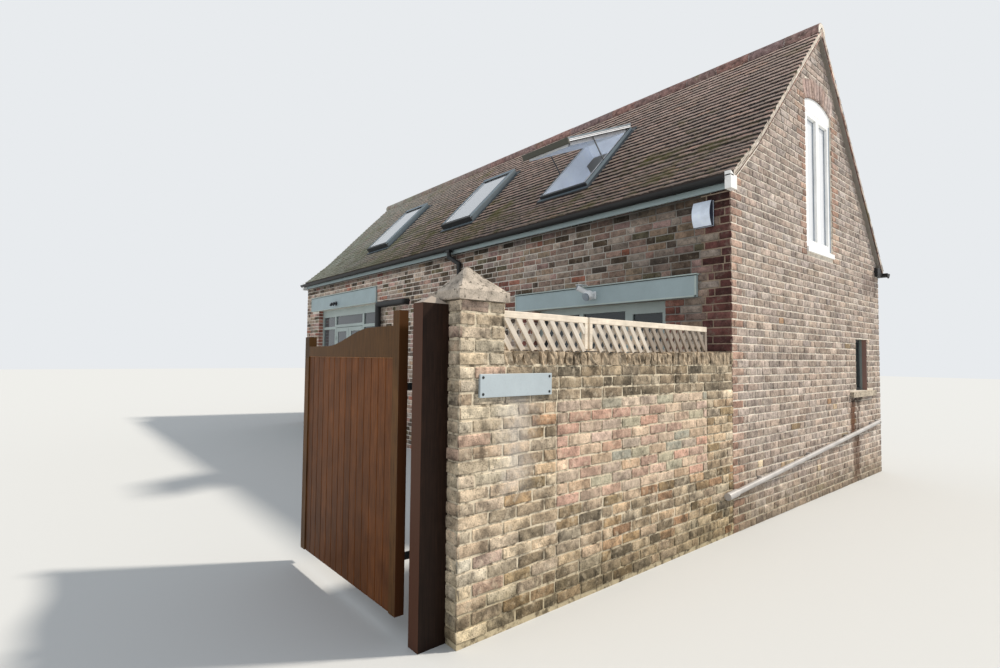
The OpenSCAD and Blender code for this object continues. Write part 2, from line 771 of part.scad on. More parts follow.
// yard wall
module yard_wall() color("#a08a6c") in_place()
  block([-yard_t, yard_front, 0], [0, 0, yard_z]);
module yard_coping() color("#9b8266") in_place()
  block([-yard_t, yard_front, yard_z], [0, 0, yard_z + coping_h]);
module pier() color("#a08a6c") in_place()
  block([-pier_w, pier_front, 0], [0, yard_front, pier_z]);
// the point of the cap stands forward of its middle
cap_lean = 45;
// overhang of the cap on the yard side
cap_in = 5;
module pier_cap() color("#a39c8b") in_place() {
  hx = (pier_w + cap_out + cap_in)/2; hy = pier_d/2 + cap_out;
  translate([cap_out - hx, (pier_front + yard_front)/2, pier_z]) intersection() {
    along_x(-hx, hx) polygon([[-hy, 0], [hy, 0], [hy, cap_edge],
      [-cap_lean, cap_h], [-hy, cap_edge]]);
    rotate([0, 0, 90]) along_x(-hy, hy) polygon([[-hx, 0], [hx, 0],
      [hx, cap_edge], [0, cap_h], [-hx, cap_edge]]);
  }
}
tr_x = -130;
tr_t = 36;
tr_h = 232;
tr_bar = 28;
tr_rail = 34;
// the bottom rail is thin and lies on the coping
tr_foot = 12;
tr_pitch = 113;
// one lattice panel between two y values
module lattice(y0, y1) {
  z0 = yard_z + coping_h;
  l = y1 - y0;
  difference() {
    block([tr_x, y0, z0], [tr_x + tr_t, y1, z0 + tr_h]);
    block([tr_x - 1, y0 + tr_rail, z0 + tr_foot],
          [tr_x + tr_t + 1, y1 - tr_rail, z0 + tr_h - tr_rail]);
  }
  n = ceil((l + tr_h)/tr_pitch);
  for (s = [0, 1]) intersection() {
    block([tr_x + s*tr_t/2, y0 + 1, z0 + 1],
          [tr_x + (s + 1)*tr_t/2, y1 - 1, z0 + tr_h - 1]);
    for (k = [0:n]) translate([tr_x + s*tr_t/2,
        y0 + k*tr_pitch - (s == 0 ? tr_h : 0), z0])
      rotate([s == 0 ? 45 : 135, 0, 0])
        translate([0, -tr_h, -tr_bar/2]) cube([tr_t/2, 3*tr_h, tr_bar]);
  }
}
module trellis() color("#cfc0a0") in_place() {
  lattice(-2795, -1890);
  lattice(-1890, -270);
}
module name_plate() color("#8fa2ac") in_place()
  block([0, -2990, 1366], [20, -2410, 1502]);

// gate
post_z = 1900;
post_point = 46;
module gate_post() color("#241a17") in_place() {
  x0 = post_x - post_t; y0 = pier_front - post_d; hz = post_z;
  block([x0, y0, 0], [post_x, pier_front, hz]);
  translate([post_x - post_t/2, y0 + post_d/2, hz]) intersection() {
    along_x(-post_t/2, post_t/2)
      polygon([[-post_d/2, 0], [post_d/2, 0], [0, post_point]]);
    rotate([0, 0, 90]) along_x(-post_d/2, post_d/2)
      polygon([[-post_t/2, 0], [post_t/2, 0], [0, post_point]]);
  }
}
gx0 = -gate_x - gate_l;
gx1 = -gate_x;
gate_hi = 1780;
gate_lo = 1667;
horn_z = 1870;
tip_z = 1741;
rail_z = 1590;
stile_w = 75;
swoop0 = -700;
swoop1 = -1380;
function ease(t) = t <= 0 ? 0 : t >= 1 ? 1 : t*t*(3 - 2*t);
function gate_top(x) = gate_hi - (gate_hi - gate_lo)*ease((x - swoop0)/(swoop1 - swoop0));
module gate_frame() color("#4a3024") in_place() {
  y0 = gate_face; y1 = gate_face + gate_t;
  block([gx1 - stile_w, y0, gate_z], [gx1, y1, horn_z]);
  block([gx0, y0, gate_z], [gx0 + stile_w, y1, tip_z]);
  xs = [for (k = [0:24]) gx0 + stile_w - 1 + k*(gate_l - 2*stile_w + 2)/24];
  translate([0, y1, 0]) rotate([90, 0, 0]) linear_extrude(height = gate_t)
    polygon(concat([for (x = xs) [x, gate_top(x)]],
      [[xs[24], rail_z], [xs[0], rail_z]]));
  for (z = [gate_z + 90, 820])
    block([gx0 + stile_w - 1, y0 + 32, z], [gx1 - stile_w + 1, y1, z + 110]);
}
module gate_boards() color("#5b4030") in_place()
  block([gx0 + stile_w, gate_face + 8, gate_z],
        [gx1 - stile_w, gate_face + 32, rail_z]);
hinge_zs = [420, 1400];
eye_r = 15;
hook_r = 9;
eye_in = hook_r + run_gap;
module gate_straps() color("#1c1c1c") in_place() for (z = hinge_zs) {
  y1 = gate_face + gate_t;
  h = 44;
  block([gx1 - 420, y1, z], [gx1, y1 + 8, z + h]);
  block([gx1 - 8, y1, z], [gx1, pin_y + 5, z + h]);
  difference() {
    union() {
      block([gx1 - 8, pin_y - 5, z], [pin_x, pin_y + 5, z + h]);
      translate([pin_x, pin_y, z]) cylinder(h = h, r = eye_r);
    }
    translate([pin_x, pin_y, z - 1]) cylinder(h = h + 2, r = eye_in);
  }
}
module gate_hooks() color("#1c1c1c") in_place() for (z = hinge_zs) {
  h = 44; px = post_x - post_t;
  block([px - 5, pin_y - 25, z - 60], [px, pin_y + 25, z + h + 20]);
  block([pin_x, pin_y - 8, z - 24], [px - 1, pin_y + 8, z - 6]);
  translate([pin_x, pin_y, z - 24]) cylinder(h = 24 - run_gap, r = eye_r);
  translate([pin_x, pin_y, z - 7]) cylinder(h = h + 15, r = hook_r);
}

floor_slab();
wall_front_left();
wall_over_door();
wall_front_mid();
wall_over_window();
wall_under_window();
wall_front_right();
wall_back();
gable_right();
gable_left();
floor_upper();
roof_front();
roof_back();
ridge();
verges();
rooflight_1();
rooflight_2();
rooflight_3();
rooflight_glass_1();
rooflight_glass_2();
rooflight_glass_3();
fascia_front();
fascia_back();
gutter_front();
gutter_back();
flue();
lintel_door();
lintel_window();
door_frame();
door_frame_glass();
door_leaf_left();
door_leaf_right();
door_glass_left();
door_glass_right();
window_frame();
window_glass();
window_sill();
gable_window_right();
gable_window_left();
gable_glass_right();
gable_glass_left();
arch_right();
arch_left();
small_window();
small_window_sill();
waste_pipe();
soil_pipe();
alarm_box();
lamps();
yard_wall();
yard_coping();
pier();
pier_cap();
trellis();
name_plate();
gate_post();
gate_frame();
gate_boards();
gate_straps();
gate_hooks();
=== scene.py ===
"""Looks of the brick oast house outbuilding, its yard wall and its gate."""

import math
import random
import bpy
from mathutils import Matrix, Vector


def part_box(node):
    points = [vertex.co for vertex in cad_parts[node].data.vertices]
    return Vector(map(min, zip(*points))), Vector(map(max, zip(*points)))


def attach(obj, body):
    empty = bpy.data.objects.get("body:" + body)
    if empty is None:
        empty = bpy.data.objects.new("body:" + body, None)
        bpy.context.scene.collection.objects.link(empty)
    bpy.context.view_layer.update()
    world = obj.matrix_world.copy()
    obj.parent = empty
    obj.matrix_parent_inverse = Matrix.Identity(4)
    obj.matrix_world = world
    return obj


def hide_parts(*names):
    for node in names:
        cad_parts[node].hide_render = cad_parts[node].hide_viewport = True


bl_info = {
    "name": "Oast house",
    "version": (1, 0, 0),
    "blender": (4, 5, 0),
    "location": "View3D > Sidebar > Oast house",
    "description": "Brickwork, tiles, joinery and finishes of an oast house outbuilding",
    "category": "Object",
}

import bmesh
import bpy
from mathutils import Matrix, Vector

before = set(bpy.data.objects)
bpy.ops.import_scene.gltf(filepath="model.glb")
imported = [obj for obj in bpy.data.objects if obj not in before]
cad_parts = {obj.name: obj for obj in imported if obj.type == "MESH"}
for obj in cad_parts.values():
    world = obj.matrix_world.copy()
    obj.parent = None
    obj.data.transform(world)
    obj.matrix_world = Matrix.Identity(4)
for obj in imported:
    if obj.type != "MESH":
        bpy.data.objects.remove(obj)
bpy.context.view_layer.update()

# The house is measured from its front right corner; these two carry that
# corner into the frame. All lengths are metres.
CORNER = Vector((5.315, -2.215, 0.0))
HOUSE_LEN, HOUSE_DEP = 10.63, 4.43
BRICK_STEP, TILE_STEP = 0.076, 0.072    # one course of bricks; of tiles, along y
RIDGE_Y, RIDGE_Z = 2.215, 5.64
KICK_Y, KICK_Z = 0.45, 3.795
FOOT_Y, FOOT_Z = -0.055, 3.355
BACK_TAN = 1.2
VERGE = 0.06
DOOR = (-9.91, -7.10, 0.0, 2.63)
WINDOW = (-2.65, -0.70, 0.95, 2.21)
ARCH_Y, ARCH_W, ARCH_Z, SPRING, RISE = 1.80, 0.83, 2.86, 4.67, 0.085
SMALL = (3.41, 3.88, 1.19, 1.89)
LIGHTS_X = (-2.61, -5.09, -7.97)
LIGHT_Y = 1.0
LIGHT_W, LIGHT_L = 0.85, 1.43
CURB, SASH_OPEN = 0.060, 23.0
WALL_LEN, WALL_TOP = 2.8, 1.56
PIER_Y, PIER_W, PIER_TOP = 3.12, 0.225, 1.92
ARCH_R = (ARCH_W ** 2 / 4 + RISE ** 2) / (2 * RISE)     # radius of the arch
ARCH_C = SPRING + RISE - ARCH_R                         # height of its centre
ARCH_M = ARCH_Y + ARCH_W / 2                            # middle of the window


def roof_top(y):
    """Height of the tile line over y, as in the source."""
    if y < KICK_Y:
        return FOOT_Z + (y - FOOT_Y) * (KICK_Z - FOOT_Z) / (KICK_Y - FOOT_Y)
    if y < RIDGE_Y:
        return KICK_Z + (y - KICK_Y) * (RIDGE_Z - KICK_Z) / (RIDGE_Y - KICK_Y)
    return RIDGE_Z - (y - RIDGE_Y) * BACK_TAN


def roof_y(z, back):
    """The y where the tile line is z high, on the front or back slope."""
    if back:
        return RIDGE_Y + (RIDGE_Z - z) / BACK_TAN
    if z < KICK_Z:
        return FOOT_Y + (z - FOOT_Z) * (KICK_Y - FOOT_Y) / (KICK_Z - FOOT_Z)
    return KICK_Y + (z - KICK_Z) * (RIDGE_Y - KICK_Y) / (RIDGE_Z - KICK_Z)


def linear(code):
    """An sRGB hex colour as a linear RGBA."""
    out = []
    for k in (1, 3, 5):
        c = int(code[k:k + 2], 16) / 255
        out.append(c / 12.92 if c <= 0.04045 else ((c + 0.055) / 1.055) ** 2.4)
    return (*out, 1.0)


def grey(v):
    return (v, v, v, 1.0)


def ends(node):
    """The lowest and the highest corner of a node."""
    return [Vector(v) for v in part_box(node)]


# ---- sizes and colours a user would change ---------------------------------

def length(name, note, value, low, high):
    return bpy.props.FloatProperty(name=name, description=note, default=value,
                                   min=low, max=high, unit="LENGTH", precision=4)


def tone(name, note, code):
    return bpy.props.FloatVectorProperty(name=name, description=note, subtype="COLOR",
                                         size=4, min=0, max=1, default=linear(code))


class OastSizes(bpy.types.PropertyGroup):
    course: length("Course", "Height of a brick course with its joint", 0.076, 0.06, 0.1)
    joint: length("Joint", "Width of the mortar joints", 0.012, 0.005, 0.02)
    stretcher: length("Stretcher", "Length of a brick along the wall", 0.215, 0.18, 0.24)
    header: length("Header", "Width of a brick end", 0.102, 0.09, 0.12)
    relief: length("Relief", "How far bricks stand out of the mortar", 0.006, 0.0, 0.012)
    tile_width: length("Tile width", "Width of a plain roof tile", 0.165, 0.14, 0.2)
    tile_thick: length("Tile thickness", "Thickness of a plain roof tile", 0.013, 0.008, 0.02)
    tile_gauge: length("Tile gauge", "Slope shown by each tile course", 0.1, 0.08, 0.15)
    board: length("Gate board", "Width of a gate board", 0.0967, 0.06, 0.15)


class OastColours(bpy.types.PropertyGroup):
    mortar: tone("Mortar", "Lime mortar of the gable and yard wall", "#efe5d5")
    yard_mortar: tone("Yard mortar", "Sandy lime mortar of the yard wall", "#e3d5bb")
    front_mortar: tone("Front mortar", "Weathered mortar of the front", "#f0e8db")
    gate: tone("Gate stain", "Brown stain on the gate boards", "#673c1b")
    lintel: tone("Lintel paint", "Paint of the lintel boards and fascias", "#a2b3b5")
    joinery: tone("Frame paint", "Paint of the front frames", "#a9b5b0")
    moss: tone("Moss", "Moss on the roof tiles", "#5d5a2c")


def sizes():
    return bpy.context.scene.oast_sizes


def rgba(code):
    """A hex colour, or one of the colours above by its name, as linear RGBA."""
    if code[0] == "#":
        return linear(code)
    return tuple(getattr(bpy.context.scene.oast_colours, code))


# ---- materials ---------------------------------------------------------------

def add(tree, kind, inputs=None, out=0, stops=None, **settings):
    """Adds a node, sets it up, fills or links its inputs, gives one output."""
    node = tree.nodes.new(kind)
    for key, value in settings.items():
        setattr(node, key, value)
    for key, value in (inputs or {}).items():
        if isinstance(value, bpy.types.NodeSocket):
            tree.links.new(value, node.inputs[key])
        else:
            node.inputs[key].default_value = value
    if stops:
        steps = node.color_ramp.elements
        while len(steps) > 1:
            steps.remove(steps[-1])
        steps[0].position, steps[0].color = stops[0][0], grey(stops[0][1])
        for place, value in stops[1:]:
            steps.new(place).color = grey(value)
    return node.outputs[out] if len(node.outputs) else node


MATERIALS = {}


def made(name, make, *args):
    """Makes a material the first time it is asked for."""
    if name not in MATERIALS:
        MATERIALS[name] = make(name, *args)
    return MATERIALS[name]


def begin(name):
    """An empty material with its tree, its surface and Object coordinates."""
    mat = bpy.data.materials.new(name)
    mat.use_nodes = True
    tree = mat.node_tree
    tree.nodes.clear()
    surface = add(tree, "ShaderNodeBsdfPrincipled")
    add(tree, "ShaderNodeOutputMaterial", {"Surface": surface})
    place = add(tree, "ShaderNodeTexCoord", out="Object")
    return mat, tree, surface.node, place


def dress(mat, surface, base, rough, layers, **even):
    """Gives a surface its colour, its even values and its bump layers.

    A bump layer is (height, strength, distance in metres).
    """
    tree, normal = mat.node_tree, None
    tree.links.new(base, surface.inputs["Base Color"])
    surface.inputs["Roughness"].default_value = rough
    for key, value in even.items():
        surface.inputs[key.replace("_", " ")].default_value = value
    for height, strength, distance in layers:
        inputs = {"Height": height, "Strength": strength, "Distance": distance}
        if normal is not None:
            inputs["Normal"] = normal
        normal = add(tree, "ShaderNodeBump", inputs)
    tree.links.new(normal, surface.inputs["Normal"])
    return mat


def blots(tree, place, scale, detail, stops, rough=0.5):
    """Noise and the mask that a ramp makes of it."""
    noise = add(tree, "ShaderNodeTexNoise", {
        "Vector": place, "Scale": scale, "Detail": detail, "Roughness": rough})
    return noise, add(tree, "ShaderNodeValToRGB", {"Fac": noise}, stops=stops)


def shaded(tree, base, layers):
    """Multiplies a colour by noise layers: (grain in mm, detail, stops)."""
    place = add(tree, "ShaderNodeTexCoord", out="Object")
    first = None
    for mm, detail, stops in layers:
        noise, value = blots(tree, place, 500.0 / mm, detail, stops, 0.6)
        first = first or noise
        base = add(tree, "ShaderNodeMix", {"Factor": 1.0, 6: base, 7: value}, out=2,
                   data_type="RGBA", blend_type="MULTIPLY")
    return base, first


def faded(tree, base, place, axis, a, b, at_a, at_b):
    """Multiplies a colour by a value that goes from a to b along a frame axis."""
    along = add(tree, "ShaderNodeSeparateXYZ", {0: place}, out=axis)
    fade = add(tree, "ShaderNodeMapRange", {0: along, 1: a, 2: b, 3: at_a, 4: at_b})
    return add(tree, "ShaderNodeMix", {"Factor": 1.0, 6: base, 7: fade}, out=2,
               data_type="RGBA", blend_type="MULTIPLY")


def inside(tree, value, low, high, soft):
    """1 where value is between low and high, fading over soft."""
    rise = add(tree, "ShaderNodeMapRange", {0: value, 1: low - soft, 2: low + soft})
    fall = add(tree, "ShaderNodeMapRange", {0: value, 1: high + soft, 2: high - soft})
    return add(tree, "ShaderNodeMath", {0: rise, 1: fall}, operation="MULTIPLY")


def patch(tree, place, low, high, soft, ragged=0.0):
    """A mask box in the frame, its edges broken up by noise."""
    axes = [add(tree, "ShaderNodeSeparateXYZ", {0: place}, out=k) for k in range(3)]
    if ragged:
        noise = add(tree, "ShaderNodeTexNoise", {"Vector": place, "Scale": 14.0, "Detail": 5.0})
        noise = add(tree, "ShaderNodeMath", {0: noise, 1: ragged, 2: -ragged / 2},
                    operation="MULTIPLY_ADD")
        axes = [add(tree, "ShaderNodeMath", {0: v, 1: noise}, operation="ADD") for v in axes]
    mask = None
    for value, a, b in zip(axes, low, high):
        if a is not None:
            one = inside(tree, value, a, b, soft)
            mask = one if mask is None else add(
                tree, "ShaderNodeMath", {0: mask, 1: one}, operation="MULTIPLY")
    return mask


def tinted(tree, mask, strength, base, code, mode="MIX"):
    """Lays a colour over base where the mask is."""
    fac = add(tree, "ShaderNodeMath", {0: mask, 1: strength}, operation="MULTIPLY")
    return add(tree, "ShaderNodeMix", {"Factor": fac, 6: base, 7: rgba(code)}, out=2,
               data_type="RGBA", blend_type=mode)


def corner(x, y, z):
    """A point given from the front right corner, in the frame."""
    return tuple(None if v is None else v + c for v, c in zip((x, y, z), CORNER))


# Weathers: each lays the stains of one place over a colour; some lay painted shade and shadow
# too.

def wall_weather(tree, base, place):
    """Stains of the yard wall and gable: damp foot, lime run, rust runs; some patches are painted
    shade.
    """
    foot = patch(tree, place, (None, None, -0.3), (None, None, 0.24), 0.16, 0.5)
    base = tinted(tree, foot, 0.55, base, "#a9a283", "MULTIPLY")
    lime = patch(tree, place, corner(-0.02, -2.80, 0.80), corner(0.05, -2.60, 1.38), 0.09, 0.3)
    base = tinted(tree, lime, 0.75, base, "#dcd6d0")
    # rust runs down from the ends of the small sill; the near-black band is painted shade under
    # the sill, the highest patch the painted shadow of the back gutter end
    for y0, y1, z0, z1, part, code in (
            (3.16, 3.36, 0.60, 1.10, 0.8, "#5b3c29"), (3.24, 3.31, 0.62, 1.02, 0.85, "#64402a"),
            (3.42, 3.51, 0.50, 1.08, 0.75, "#4d3a2d"), (3.26, 3.50, 0.06, 0.60, 0.7, "#523622"),
            (3.20, 3.62, 1.05, 1.12, 0.85, "#2a211a"), (3.78, 4.30, 2.52, 2.82, 0.5, "#5f4d47")):
        run = patch(tree, place, (4.9, y0 + CORNER.y, z0), (5.6, y1 + CORNER.y, z1), 0.03, 0.2)
        base = tinted(tree, run, part, base, code)
    # the short front face of this solid gets the same painted shade as the front beside it
    face = patch(tree, place, (4.8, -2.2170, None), (5.3143, -2.2143, None), 0.0003)
    base = tinted(tree, face, 1.0, base, "#aca096", "MULTIPLY")
    green = patch(tree, place, corner(-0.02, -0.75, 0.0), corner(0.05, 0.55, 0.62), 0.14, 0.5)
    return tinted(tree, green, 0.45, base, "#aaa36f", "MULTIPLY")


def sooty_end(tree, base, place):
    """Painted shade: the front darkens towards the yard corner, and a painted shadow lies just
    under the fascia.
    """
    base = faded(tree, base, place, 0, 4.3, -0.2, 0.66, 1.22)
    return faded(tree, base, place, 2, 3.05, 3.17, 1.0, 0.3)


def sooty_joints(tree, base, place):
    """Joints take the painted shade of the front and darken further towards the yard corner, like
    the bricks there.
    """
    return faded(tree, sooty_end(tree, base, place), place, 0, 3.4, 4.95, 0.88, 0.42)


def back_soot(tree, base, place):
    """The verge over the back slope hangs in shadow; that shade is painted on it in dark grey."""
    y = add(tree, "ShaderNodeSeparateXYZ", {0: place}, out=1)
    fade = add(tree, "ShaderNodeMapRange", {0: y, 1: -0.02, 2: 0.02, 4: 0.75})
    return tinted(tree, fade, 1.0, base, "#4d4944")


def post_ends(tree, base, place):
    """The post's near-black stain is painted shade from the pier; its front face is painted
    browner, and it is pale and bare on top.
    """
    front = patch(tree, place, (None, -5.6, None), (None, -5.5143, None), 0.0004)
    base = tinted(tree, front, 0.8, base, "#573625")
    top = patch(tree, place, (None, None, 1.8995), (None, None, 2.1), 0.0008)
    return tinted(tree, top, 0.9, base, "#a79b8e")


def gate_edges(tree, base, place):
    """The gate frame is olive on its head rail and dark on its tip; its edge is painted dark as
    the shade of the post and pier.
    """
    low, high = ends("gate_frame")
    # the edge towards the post is painted dark, as their shade
    edge = patch(tree, place, (high.x - 0.0006, None, None), (high.x + 0.1, None, None), 0.0003)
    base = tinted(tree, edge, 0.85, base, "#452616")
    tip = patch(tree, place, (low.x - 0.1, None, 1.58), (low.x + 0.09, None, 2.0), 0.01)
    base = tinted(tree, tip, 0.8, base, "#33220f")
    head = patch(tree, place, (None, None, 1.50), (None, None, 2.0), 0.10)
    return tinted(tree, head, 0.4, base, "#4b3417")


def own_tone(tree, base, place):
    """Each gate board is a little lighter or darker than the next."""
    tint = add(tree, "ShaderNodeAttribute", out="Color", attribute_name="tint")
    return add(tree, "ShaderNodeMix", {"Factor": 1.0, 6: base, 7: tint}, out=2,
               data_type="RGBA", blend_type="MULTIPLY")


def fired_brick(name, pale, rough_face, weather):
    """Hand-made fired clay: matt and pitted, with lime on its face, painted shade in its pits and
    under its lower arris.
    """
    mat, tree, surface, place = begin(name)
    tint = add(tree, "ShaderNodeAttribute", out="Color", attribute_name="tint")
    base, mid = shaded(tree, tint, [
        (20, 7, [(0.28, 0.5), (0.48, 1.0), (0.72, 1.36)]),
        (62, 4, [(0.36, 1 - 0.62 * rough_face), (0.5, 1.0), (0.66, 1 + 0.42 * rough_face)])])
    # the lower arris is painted dark, as the shadow each brick casts below it
    edge = add(tree, "ShaderNodeAttribute", out="Fac", attribute_name="edge")
    edge = add(tree, "ShaderNodeMapRange", {0: edge, 1: 0.0, 2: -1.0, 4: 0.85 * rough_face})
    base = tinted(tree, edge, 1.0, base, "#2e261e")
    # the pits are painted dark, as the shade in their hollows
    fine, pits = blots(tree, place, 115.0, 4.0, [(0.32, 1.0), (0.46, 0.0)], 0.65)
    base = tinted(tree, pits, 0.55 + 0.3 * rough_face, base, "#332a22")
    lime = blots(tree, place, 16.0, 7.0, [(0.54, 0.0), (0.66, 1.0)], 0.7)[1]
    base = tinted(tree, lime, 0.5, base, pale)
    if weather:
        base = weather(tree, base, place)
    return dress(mat, surface, base, 0.93, [(mid, rough_face, 0.009), (fine, rough_face, 0.004)],
                 Specular_IOR_Level=0.2)


def lime_mortar(name, code, weather, eaten=0.0):
    """Gritty lime mortar; the same solids show white plaster in the rooms."""
    mat, tree, surface, place = begin(name)
    base, grit = shaded(tree, rgba(code), [
        (3, 3, [(0.3, 0.88), (0.62, 1.03)]),
        (45, 5, [(0.3, 0.84), (0.7, 1.06)]),
        (700, 3, [(0.3, 0.9), (0.7, 1.05)])])
    if eaten:
        # frost has eaten the joints in places; the hollows are painted dark, as their shade
        holes = blots(tree, place, 17.0, 6.0, [(0.38, 1.0), (0.52, 0.0)], 0.7)[1]
        base = tinted(tree, holes, eaten, base, "#4a3d2f")
    if weather:
        base = weather(tree, base, place)
    room = patch(tree, place, (-5.02, -1.92, None), (5.02, 1.92, None), 0.004)
    base = tinted(tree, room, 1.0, base, "#e4e1da")
    return dress(mat, surface, base, 0.95, [(grit, 0.6, 0.003)], Specular_IOR_Level=0.15)


def clay_tile(name):
    """Plain clay tile: sanded face with soot, lichen spots and moss."""
    mat, tree, surface, place = begin(name)
    tint = add(tree, "ShaderNodeAttribute", out="Color", attribute_name="tint")
    base, mid = shaded(tree, tint, [
        (30, 6, [(0.30, 0.36), (0.5, 1.0), (0.72, 1.65)]),
        (5, 3, [(0.3, 0.68), (0.62, 1.12)])])
    spots = blots(tree, place, 32.0, 2.0, [(0.63, 0.0), (0.69, 1.0)])[1]
    base = tinted(tree, spots, 0.4, base, "#a39c8f")
    # the lower edge of each tile is painted pale, partly wear and partly a painted highlight; the
    # band above it, under the next course, is painted near-black as that course's shadow
    edge = add(tree, "ShaderNodeAttribute", out="Fac", attribute_name="edge")
    worn = add(tree, "ShaderNodeMapRange", {0: edge, 1: 0.0, 2: 1.0, 4: 0.72})
    base = tinted(tree, worn, 1.0, base, "#c9b6a8")
    soot = add(tree, "ShaderNodeMapRange", {0: edge, 1: 0.0, 2: -1.0, 4: 1.0})
    base = tinted(tree, soot, 1.0, base, "#0d0907")
    # moss gathers towards the eaves and the far left end
    x, y, z = (add(tree, "ShaderNodeSeparateXYZ", {0: place}, out=k) for k in range(3))
    low = add(tree, "ShaderNodeMapRange", {0: z, 1: 5.0, 2: 3.3, 4: 0.17})
    left = add(tree, "ShaderNodeMapRange", {0: x, 1: 1.5, 2: -5.3, 4: 0.15})
    grow = add(tree, "ShaderNodeTexNoise", {"Vector": place, "Scale": 2.2, "Detail": 8.0,
                                            "Roughness": 0.68})
    for more in (low, left):
        grow = add(tree, "ShaderNodeMath", {0: grow, 1: more}, operation="ADD")
    moss = add(tree, "ShaderNodeValToRGB", {"Fac": grow}, stops=[(0.62, 0.0), (0.78, 1.0)])
    base = tinted(tree, moss, 0.8, base, "moss")
    # the tiles are darker towards the eaves and lighter towards the ridge; lichen greys the far
    # end
    base = faded(tree, base, place, 2, 3.4, 5.5, 0.70, 1.5)
    far = add(tree, "ShaderNodeMapRange", {0: x, 1: -0.5, 2: -5.0, 3: 0.0, 4: 0.62})
    shady = add(tree, "ShaderNodeMapRange", {0: y, 1: 0.0, 2: 0.15, 3: 1.0, 4: 0.3})
    patchy = add(tree, "ShaderNodeTexNoise", {"Vector": place, "Scale": 6.0, "Detail": 7.0,
                                              "Roughness": 0.7})
    patchy = add(tree, "ShaderNodeMapRange", {0: patchy, 1: 0.36, 2: 0.62, 3: 0.45, 4: 1.4})
    for less in (shady, patchy):
        far = add(tree, "ShaderNodeMath", {0: far, 1: less}, operation="MULTIPLY")
    base = tinted(tree, far, 1.0, base, "#a7aa9c")
    return dress(mat, surface, base, 0.88, [(mid, 0.5, 0.004), (spots, 0.4, 0.002)],
                 Specular_IOR_Level=0.25)


def clay_under(name):
    """Tile clay in the gaps between tiles, painted dark as their shade; white lining in the room.
    """
    mat, tree, surface, place = begin(name)
    base, mid = shaded(tree, rgba("#3a302b"), [(30, 5, [(0.3, 0.7), (0.7, 1.3)])])
    # the sawn ends of the courses at the gables are pale with bedding mortar
    for a, b in ((5.3742, 5.6), (-5.6, -5.3742)):
        end = patch(tree, place, (a, None, None), (b, None, None), 0.0002)
        base = tinted(tree, end, 1.0, base, "#c4b9ab")
    facing = add(tree, "ShaderNodeNewGeometry", out="Normal")
    up = add(tree, "ShaderNodeSeparateXYZ", {0: facing}, out=2)
    down = add(tree, "ShaderNodeMath", {0: up, 1: -0.3}, operation="LESS_THAN")
    room = patch(tree, place, (-5.02, -1.95, None), (5.02, 1.95, None), 0.004)
    down = add(tree, "ShaderNodeMath", {0: down, 1: room}, operation="MULTIPLY")
    base = tinted(tree, down, 1.0, base, "#e4e1da")
    return dress(mat, surface, base, 0.9, [(mid, 0.4, 0.003)])


def stained_wood(name, code, rough, grain_axis, lean=0.0, figure=1.0, weather=None):
    """Softwood under a thin stain: long grain through a satin film.

    The grain runs along an axis of the frame, leant over for the laths.
    """
    mat, tree, surface, place = begin(name)
    if lean:
        place = add(tree, "ShaderNodeVectorRotate", {"Vector": place, "Angle": lean},
                    rotation_type="X_AXIS")
    squeeze = [1.0, 1.0, 1.0]
    squeeze[grain_axis] = 0.05
    along = add(tree, "ShaderNodeMapping", {"Vector": place, "Scale": squeeze})
    grain, streak = blots(tree, along, 95.0, 5.0, [
        (0.3, 1 - 0.45 * figure), (0.5, 1.0), (0.74, 1 + 0.5 * figure)], 0.62)
    base = add(tree, "ShaderNodeMix", {"Factor": 1.0, 6: rgba(code), 7: streak}, out=2,
               data_type="RGBA", blend_type="MULTIPLY")
    base = shaded(tree, base, [(90, 3, [(0.3, 0.8), (0.7, 1.18)])])[0]
    # darker towards the foot
    base = faded(tree, base, place, 2, 0.35, 1.25, 0.78, 1.0)
    if weather:
        base = weather(tree, base, place)
    return dress(mat, surface, base, rough, [(grain, 0.3, 0.0012)], Specular_IOR_Level=0.12)


def brushed_paint(name, code, rough):
    """Brushed exterior paint: even colour, faint dirt, satin sheen."""
    mat, tree, surface, place = begin(name)
    base, wide = shaded(tree, rgba(code), [
        (160, 5, [(0.3, 0.9), (0.7, 1.06)]), (7, 3, [(0.25, 0.93), (0.5, 1.0)])])
    return dress(mat, surface, base, rough, [(wide, 0.1, 0.001)])


def moulded_plastic(name, code, rough):
    """Extruded rainwater plastic: smooth, with a film of dust."""
    mat, tree, surface, place = begin(name)
    base, dust = shaded(tree, rgba(code), [(90, 5, [(0.35, 0.85), (0.7, 1.25)])])
    return dress(mat, surface, base, rough, [(dust, 0.05, 0.001)])


def weathered_stone(name, code):
    """Cast or cut stone: sandy, blotched with lichen and algae."""
    mat, tree, surface, place = begin(name)
    base, blotch = shaded(tree, rgba(code), [
        (50, 6, [(0.3, 0.5), (0.5, 0.95), (0.75, 1.3)]),
        (4, 3, [(0.3, 0.72), (0.6, 1.08)])])
    spots = blots(tree, place, 34.0, 4.0, [(0.56, 0.0), (0.64, 1.0)])[1]
    base = tinted(tree, spots, 0.75, base, "#4b463a")
    return dress(mat, surface, base, 0.95, [(blotch, 0.6, 0.006), (spots, 0.5, 0.002)])


